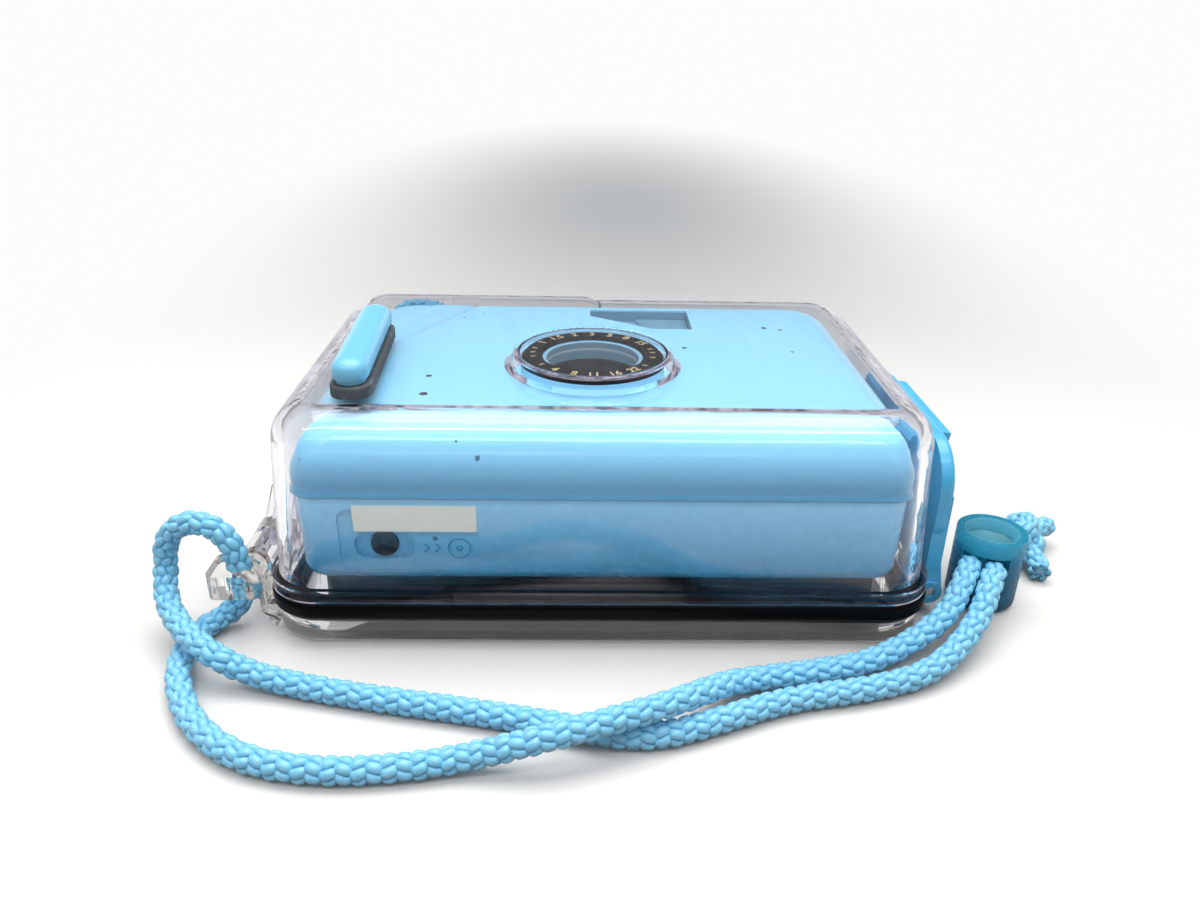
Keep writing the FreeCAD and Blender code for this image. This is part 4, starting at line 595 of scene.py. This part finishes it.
def coverLip():
    # The profile carried round the loop: point = loop + out * proud, z = low + height
    ring, out = roundedLoop(lip["halfX"], lip["halfY"], lip["corner"])
    grid = np.stack([np.column_stack([ring + out * proud, np.full(len(ring), lip["low"] + height)])
                     for proud, height in lip["profile"]], 0) * mm
    piece = makePiece("coverLip", [(grid, True, True, (0.004, 0.35))], skyPlastic, flip=True)
    return dress(piece, "case", "sky_plastic")


coverLip()

# The camera's lower shell, drawn out at its ends towards the foot as the moulding is, with a tighter
# lower edge
body = dict(parting=28.65, foot=12.0, spread=2.9, blendStart=46.5, blendEnd=53.7, edge=14.6, edgeRadius=2.6,
            tighten=0.6, halfX=53.7, halfY=34.2, sharp=30.0)


def bodyFlared():
    # x += spread * fall * reach at the ends; under the edge line the plan grows by a share of the inset of
    # its rounding, which is edgeRadius - sqrt(edgeRadius^2 - drop^2)
    b = body
    mesh = nodes["camera_body_shell"].data.copy()
    mesh.name = "bodyFlared"
    work = bmesh.new()
    work.from_mesh(mesh)
    bmesh.ops.remove_doubles(work, verts=work.verts, dist=1e-6)
    work.to_mesh(mesh)
    work.free()
    if "custom_normal" in mesh.attributes:
        mesh.attributes.remove(mesh.attributes["custom_normal"])
    points = np.empty(len(mesh.vertices) * 3)
    mesh.vertices.foreach_get("co", points)
    x, y, z = (points.reshape(-1, 3) / mm).T
    fall = np.clip((b["parting"] - z) / (b["parting"] - b["foot"]), 0.0, 1.0)
    reach = np.clip((np.abs(x) - b["blendStart"]) / (b["blendEnd"] - b["blendStart"]), 0.0, 1.0)
    drop = np.clip(b["edge"] - z, 0.0, b["edgeRadius"])
    inset = b["tighten"] * (b["edgeRadius"] - np.sqrt(b["edgeRadius"] ** 2 - drop ** 2))
    wider = np.stack([x * (1.0 + inset / b["halfX"]) + np.sign(x) * b["spread"] * fall * reach,
                      y * (1.0 + inset / b["halfY"]), z], 1)
    mesh.vertices.foreach_set("co", (wider * mm).ravel())
    mesh.update()
    mesh.shade_smooth()
    mesh.set_sharp_from_angle(angle=math.radians(b["sharp"]))
    mesh.materials.clear()
    mesh.materials.append(bodyPlastic)
    piece = addObject("bodyFlared", mesh)
    evened = piece.modifiers.new("evened", "WEIGHTED_NORMAL")
    evened.keep_sharp = True
    return dress(piece, "case", "sky_plastic", "camera_body_shell")


# The lock's plunger: a dished head with a pip in its middle, a foot, and the two posts that straddle the
# cord slot; each profile is (radius, height) in mm
plunger = dict(place=(75.1, -21.0), slotTurn=math.radians(-60.0), postHalf=math.radians(34.0), postRows=16,
               head=((0.0, 12.35), (4.7, 12.35), (4.7, 12.75), (4.4, 12.95), (3.85, 12.95), (3.5, 12.7),
                     (0.9, 12.6), (0.7, 12.85), (0.0, 12.85)),
               foot=((0.0, 3.7), (4.4, 3.7), (4.7, 4.0), (4.7, 7.4), (0.0, 7.4)),
               post=((3.3, 7.4), (4.7, 7.4), (4.7, 12.35), (3.3, 12.35)), sharp=35.0)


def lockPlunger():
    # Head and foot are turned whole; each post is turned by postHalf each way and closed at its two sides
    p = plunger
    surfaces = [(revolved(p[part], p["place"]), False, True, (0.012, 0.02)) for part in ("head", "foot")]
    for side in (0.0, math.pi):
        start = p["slotTurn"] + 0.5 * math.pi + side - p["postHalf"]
        turned = revolved(p["post"], p["place"], p["postRows"], start, 2.0 * p["postHalf"])
        surfaces.append((np.swapaxes(capped(np.swapaxes(turned, 0, 1)), 0, 1), True, False, (0.012, 0.01)))
    piece = makePiece("plungerDished", surfaces, plungerPlastic, sharp=p["sharp"], flip=True)
    return dress(piece, "plunger", "teal_plastic", "lock_plunger")


lockPlunger()

# The trigger's finger piece: a capsule in plan with a full round crown
lever = dict(place=(-44.35, -9.78), turn=math.radians(3.0), half=18.2, radius=3.15, foot=46.8, straight=1.3,
             top=50.3, under=46.05, neck=0.55, bevel=0.15, bevelRise=0.2, flat=0.02, fullness=0.8,
             crownRows=14, sharp=50.0)


def capsuleLoop(half, radius, turn, count=18):
    # A long round-ended loop in plan, half each way along, turned by an angle: its far end is
    # (radius * cos, half - radius + radius * sin), and its near end the same with its signs changed
    angle = np.linspace(0.0, math.pi, count)
    far = np.stack([radius * np.cos(angle), half - radius + radius * np.sin(angle)], 1)
    spin = np.array([[math.cos(turn), math.sin(turn)], [-math.sin(turn), math.cos(turn)]])
    return np.concatenate([far, -far]) @ spin


def triggerLever():
    # Loops of a shrinking capsule, one over the other; in the crown inset = (radius - flat) *
    # (1 - cos(a)^fullness) and height = spring + (top - spring) * sin(a); both ends close on the middle line
    p = lever
    bend = np.linspace(0.0, 0.5 * math.pi, p["crownRows"])
    spring = p["foot"] + p["straight"]
    crown = p["radius"] - p["flat"]
    profile = [(p["radius"], p["under"]), (p["neck"], p["under"]), (p["neck"], p["foot"]),
               (p["bevel"], p["foot"]), (0.0, p["foot"] + p["bevelRise"])]
    profile += [(crown * (1.0 - math.cos(a) ** p["fullness"]), spring + (p["top"] - spring) * math.sin(a))
                for a in bend] + [(p["radius"], p["top"])]
    rows = []
    for inset, height in profile:
        loop = capsuleLoop(p["half"] - inset, p["radius"] - inset, p["turn"]) + np.array(p["place"])
        rows.append(np.column_stack([loop, np.full(len(loop), height)]))
    piece = makePiece("leverCapsule", [(np.array(rows) * mm, False, True, (0.009, 0.085))], leverPlastic,
                      sharp=p["sharp"], flip=True)
    return dress(piece, "trigger", "blue_plastic", "trigger_lever")


triggerLever()

# Plain numbers and ticks in gold foil round the lens ring: each number with its angle in degrees
ringMarks = dict(place=(-2.0, -8.7), face=45.2, radius=11.3, size=2.5, bold=0.03, lift=0.015,
                 tickInner=10.8, tickOuter=11.8, tickWidth=0.3, ticks=(4, 14, 166, 178, 190, 214, 326, 350),
                 numbers=(("1", 148), ("1.5", 128), ("2", 108), ("3", 90), ("5", 72), ("8", 54), ("15", 34),
                          ("4", 232), ("8", 252), ("11", 270), ("16", 290), ("22", 310)))


def numberPoints(text, size):
    # A figure's flat outline as a thin filled mesh, centred
    letters = bpy.data.curves.new("figure", "FONT")
    letters.body = text
    letters.size = size * mm
    letters.align_x = "CENTER"
    letters.align_y = "CENTER"
    letters.extrude = ringMarks["lift"] * mm
    letters.offset = ringMarks["bold"] * mm
    mesh, points = meshOf("figure", letters)
    return points, [tuple(face.vertices) for face in mesh.polygons]


def ringFigures():
    # Each figure turned about the upright by its angle and set at radius from the ring's middle
    m = ringMarks
    points, faces = [], []

    def setDown(flat, polygons, angle, turnOver=0.0):
        spin = math.radians(angle - 90.0 + turnOver)
        turned = flat @ np.array([[math.cos(spin), math.sin(spin), 0.0],
                                  [-math.sin(spin), math.cos(spin), 0.0], [0.0, 0.0, 1.0]])
        centre = np.array([m["place"][0] + m["radius"] * math.cos(math.radians(angle)),
                           m["place"][1] + m["radius"] * math.sin(math.radians(angle)),
                           m["face"] + m["lift"]]) * mm
        start = sum(len(p) for p in points)
        points.append(turned + centre)
        faces.extend(tuple(v + start for v in face) for face in polygons)

    for text, angle in m["numbers"]:
        setDown(*numberPoints(text, m["size"]), angle, 180.0 if angle > 180 else 0.0)
    halfWide, halfLong = 0.5 * m["tickWidth"] * mm, 0.5 * (m["tickOuter"] - m["tickInner"]) * mm
    corners = np.array([(x * halfWide, y * halfLong, z * m["lift"] * mm) for z in (-1, 1)
                        for x, y in ((-1, -1), (1, -1), (1, 1), (-1, 1))])
    sides = [(3, 2, 1, 0), (4, 5, 6, 7), (0, 1, 5, 4), (1, 2, 6, 5), (2, 3, 7, 6), (3, 0, 4, 7)]
    for angle in m["ticks"]:
        setDown(corners, sides, angle)
    mesh = bpy.data.meshes.new("ringFigures")
    mesh.from_pydata(np.concatenate(points), [], faces)
    mesh.materials.append(foilGold)
    return dress(addObject("ringFigures", mesh), "case", "black_plastic")


ringFigures()

# Raised marks beside the release button: a circle, a dot and two small arrows, on the face that carries
# them; circle holds x, z and radius, and a ray from ahead finds the face
faceMarks = dict(circle=(-25.2, 18.4, 1.9), dot=0.45, bead=0.16, arrows=((-30.9, 18.5), (-29.0, 18.5)),
                 arrow=0.8, ahead=-50.0)


def onNearFace(x, z):
    start = (x * mm, faceMarks["ahead"] * mm, z * mm)
    return nodes["camera_body_shell"].ray_cast(start, (0.0, 1.0, 0.0))[1][1] / mm


def beadAlong(route, closeRows, count=8):
    # A round bead that follows (x, z) points on the near face
    route = np.array([(x, onNearFace(x, z), z) for x, z in route])
    along = np.roll(route, -1, 0) - np.roll(route, 1, 0) if closeRows else np.gradient(route, axis=0)
    along /= np.linalg.norm(along, axis=1)[:, None]
    outward = np.array((0.0, 1.0, 0.0))
    side = np.cross(along, outward)
    angle = np.linspace(0.0, 2.0 * math.pi, count, endpoint=False)
    return mm * (route[:, None, :] + faceMarks["bead"] * (np.cos(angle)[None, :, None] * side[:, None, :]
                                                          + np.sin(angle)[None, :, None] * outward))


def nearFaceMarks():
    m = faceMarks
    x0, z0, radius = m["circle"]
    angle = np.linspace(0.0, 2.0 * math.pi, 40, endpoint=False)
    surfaces = []
    for size, girth in ((radius, 0.012), (m["dot"], 0.003)):
        circle = [(x0 + size * math.cos(a), z0 + size * math.sin(a)) for a in angle]
        surfaces.append((beadAlong(circle, True), True, True, (girth, 0.001)))
    for x, z in m["arrows"]:
        back, tip, wing = x - m["arrow"] * 0.5, x + m["arrow"] * 0.5, m["arrow"]
        arrow = [(back, z + wing), (tip, z), (back, z - wing)]
        surfaces.append((capped(beadAlong(arrow, False)), False, True, (0.003, 0.001)))
    return dress(makePiece("faceMarks", surfaces, skyPlastic), "case", "sky_plastic")


nearFaceMarks()
bodyFlared()
print("stage: small moulded forms made")


# Finishes on the CAD nodes
finishes = (
    (clearBase, "back_case"), (clearShell, "front_case"), (clearWindow, "port_window"),
    (clearArm, "trigger_arm"), (sealRubber, "seal_gasket trigger_seal advance_seal drive_roller"),
    (padRubber, "trigger_pad"), (steel, "hinge_pins latch_pin trigger_shaft advance_shaft case_screws"),
    (bluePlastic, "advance_knob latch_lever"), (skyPlastic, "camera_front_cover"), (coneFinish, "lens_cone"),
    (blackPlastic, "back_door film_chassis shutter_blade lens_mount take_up_spool wind_wheel "
                   "film_sprocket rewind_knob shutter_button rewind_release"),
    (greyPlastic, "rewind_crank"), (ringPlastic, "lens_ring"), (lensGlass, "front_lens rear_lens"),
    (finderGlass, "finder_window"), (labelPaper, "blank_label"), (lockPlastic, "cord_lock"))
for finish, names in finishes:
    for name in names.split():
        nodes[name].data.materials.clear()
        nodes[name].data.materials.append(finish)


# Floor, light and air
# The paper sweep, in metres: the patch of painted shade moves and squeezes a ball one metre in radius, and
# the paper's shadow fades out between shadeFull and shadeGone
room = dict(front=-3.0, bend=4.5, bendRadius=0.5, wall=1.0, half=6.0, white="#fdfcfa", near="#ecebe8",
            paintedShadeTone="#b8bbbd", bounce="#6c6f73", patchMove=(-0.10, -0.76, 0.0), patchSqueeze=(4.4, 2.0, 1.0),
            shadeFull=0.09, shadeGone=0.22, flatRows=30, bendRows=24, columns=25)


def makeFloor():
    # A sweep: flat, then a quarter circle, then upright; z = profile(t), carried along x
    bend, radius = room["bend"], room["bendRadius"]
    flat = np.linspace(room["front"], bend, room["flatRows"])
    angle = np.linspace(0.0, 0.5 * math.pi, room["bendRows"])[1:]
    y = np.concatenate([flat, bend + radius * np.sin(angle), [bend + radius]])
    z = np.concatenate([0.0 * flat, radius * (1.0 - np.cos(angle)), [room["wall"]]])
    x = np.linspace(-room["half"], room["half"], room["columns"])
    grid = np.stack(np.broadcast_arrays(x[:, None], y[None, :], z[None, :]), 2)
    paper, tree, surface, place = newFinish("paperSweepWhite", Roughness=0.9)
    # A soft grey patch of painted shade where the sweep falls off behind the object
    squeeze = addNode(tree, "Mapping", {"Vector": place, "Location": room["patchMove"],
                                        "Scale": room["patchSqueeze"]})
    ball = addNode(tree, "TexGradient", {"Vector": squeeze}, gradient_type="SPHERICAL")
    soft = addNode(tree, "MapRange", {"Value": ball.outputs["Fac"]}, interpolation_type="SMOOTHSTEP")
    shade = addNode(tree, "Mix", {"Factor": soft, toneA: linear(room["white"]),
                                  toneB: linear(room["paintedShadeTone"])}, data_type="RGBA")
    fibre = addNode(tree, "TexNoise", {"Vector": place, "Scale": cells(1.111), "Detail": 3.0})
    addBump(tree, surface, fibre.outputs["Fac"], 0.05, 0.1)
    # Away from the object the paper shows as plain white, to the camera and in glass and gloss
    glow = addNode(tree, "Emission", {"Color": shade.outputs[toneOut]})
    away = addNode(tree, "VectorMath", {0: place}, operation="LENGTH")
    farther = addNode(tree, "MapRange", {"Value": away.outputs["Value"], "From Min": room["shadeFull"],
                                         "From Max": room["shadeGone"]}, interpolation_type="SMOOTHSTEP")
    ray = addNode(tree, "LightPath")
    seen = addNode(tree, "Math", {0: ray.outputs["Is Camera Ray"], 1: ray.outputs["Is Glossy Ray"]},
                   operation="MAXIMUM")
    seenAny = addNode(tree, "Math", {0: seen, 1: ray.outputs["Is Transmission Ray"]}, operation="MAXIMUM")
    share = addNode(tree, "Math", {0: seenAny, 1: farther}, operation="MULTIPLY")
    nearShade = addNode(tree, "Mix", {"Factor": 1.0, toneA: shade.outputs[toneOut],
                                      toneB: linear(room["near"])}, data_type="RGBA", blend_type="MULTIPLY")
    # Light that bounces off the paper on to the object is that of a grey card
    paperTone = addNode(tree, "Mix", {"Factor": seenAny, toneA: linear(room["bounce"]),
                                      toneB: nearShade.outputs[toneOut]}, data_type="RGBA")
    tree.links.new(paperTone.outputs[toneOut], surface.inputs["Base Color"])
    both = addNode(tree, "MixShader", {0: share, 1: surface, 2: glow})
    tree.links.new(both.outputs[0], tree.nodes["Material Output"].inputs["Surface"])
    floor = makePiece("paperSweep", [(grid, False, False, (6.0, 6.0))], paper)


makeFloor()

# The air is bright overhead, middling at the sides and dim behind the viewer, as in a small white tent;
# front, side and top are where the direction's y, |x| and z pass from one to the next
air = dict(overhead=0.9, ahead=0.03, behind=0.10, sides=0.45, through=0.85, inside=0.42,
           front=(-0.7, 0.6), side=(0.45, 0.9), top=(0.42, 0.85), tint="#fbfbff")
world = bpy.data.worlds.new("studio")
bpy.context.scene.world = world
world.use_nodes = True
sky = world.node_tree
split = addNode(sky, "SeparateXYZ", {"Vector": addNode(sky, "TexCoord").outputs["Generated"]})
toFront = addNode(sky, "MapRange", {"Value": split.outputs["Y"], "From Min": air["front"][0],
                                    "From Max": air["front"][1], "To Min": air["behind"],
                                    "To Max": air["ahead"]})
sideways = addNode(sky, "Math", {0: split.outputs["X"]}, operation="ABSOLUTE")
toSide = addNode(sky, "MapRange", {"Value": sideways, "From Min": air["side"][0],
                                   "From Max": air["side"][1]}, interpolation_type="SMOOTHSTEP")
lowTone = addNode(sky, "Mix", {0: toSide, valueA: toFront, valueB: air["sides"]})
toTop = addNode(sky, "MapRange", {"Value": split.outputs["Z"], "From Min": air["top"][0],
                                  "From Max": air["top"][1]}, interpolation_type="SMOOTHSTEP")
strength = addNode(sky, "Mix", {0: toTop, valueA: lowTone, valueB: air["overhead"]})
# What shows straight through a clear wall, past the object, is the same white as the paper
ray = addNode(sky, "LightPath")
bounced = addNode(sky, "Math", {0: ray.outputs["Glossy Depth"], 1: ray.outputs["Diffuse Depth"]},
                  operation="ADD")
straight = addNode(sky, "Math", {0: bounced, 1: noneYet}, operation="LESS_THAN")
seenThrough = addNode(sky, "Math", {0: straight, 1: ray.outputs["Is Transmission Ray"]},
                      operation="MULTIPLY")
# and what clear edges turn back and round inside the wall is a softer grey
turnedBack = addNode(sky, "Math", {0: ray.outputs["Diffuse Depth"], 1: noneYet}, operation="LESS_THAN")
seenInside = addNode(sky, "Math", {0: turnedBack, 1: ray.outputs["Is Transmission Ray"]},
                     operation="MULTIPLY")
inside = addNode(sky, "Mix", {0: seenInside, valueA: strength, valueB: air["inside"]})
shown = addNode(sky, "Mix", {0: seenThrough, valueA: inside, valueB: air["through"]})
background = sky.nodes["Background"]
sky.links.new(shown.outputs[0], background.inputs["Strength"])
background.inputs["Color"].default_value = linear(air["tint"])

# Soft boxes: place, aim and size in metres, power in watts
softboxes = {"overheadSoftbox": ((0.05, 0.16, 0.9), (0.0, 0.0, 0.0), (0.9, 0.6), 6.4),
             "highStrip": ((-0.05, -0.40, 0.75), (0.0, 0.0, 0.03), (1.1, 0.07), 1.9),
             "lowStrip": ((-0.05, -0.78, 0.50), (0.0, 0.0, 0.03), (1.1, 0.03), 0.4)}
for name, (place, aim, size, power) in softboxes.items():
    lamp = bpy.data.lights.new(name, "AREA")
    lamp.shape = "RECTANGLE"
    lamp.size, lamp.size_y = size
    lamp.energy = power
    back = np.array(place) - np.array(aim)
    back /= np.linalg.norm(back)
    # The long side lies square to the aim and to a direction that no box looks along
    across = np.cross((0.0, 1.0, 0.001), back)
    across /= np.linalg.norm(across)
    turn = Matrix((across, np.cross(back, across), back)).transposed()
    addObject(name, lamp).matrix_world = Matrix.Translation(place) @ turn.to_4x4()
bpy.context.scene.view_settings.view_transform = "Standard"
print("stage: floor and light set")
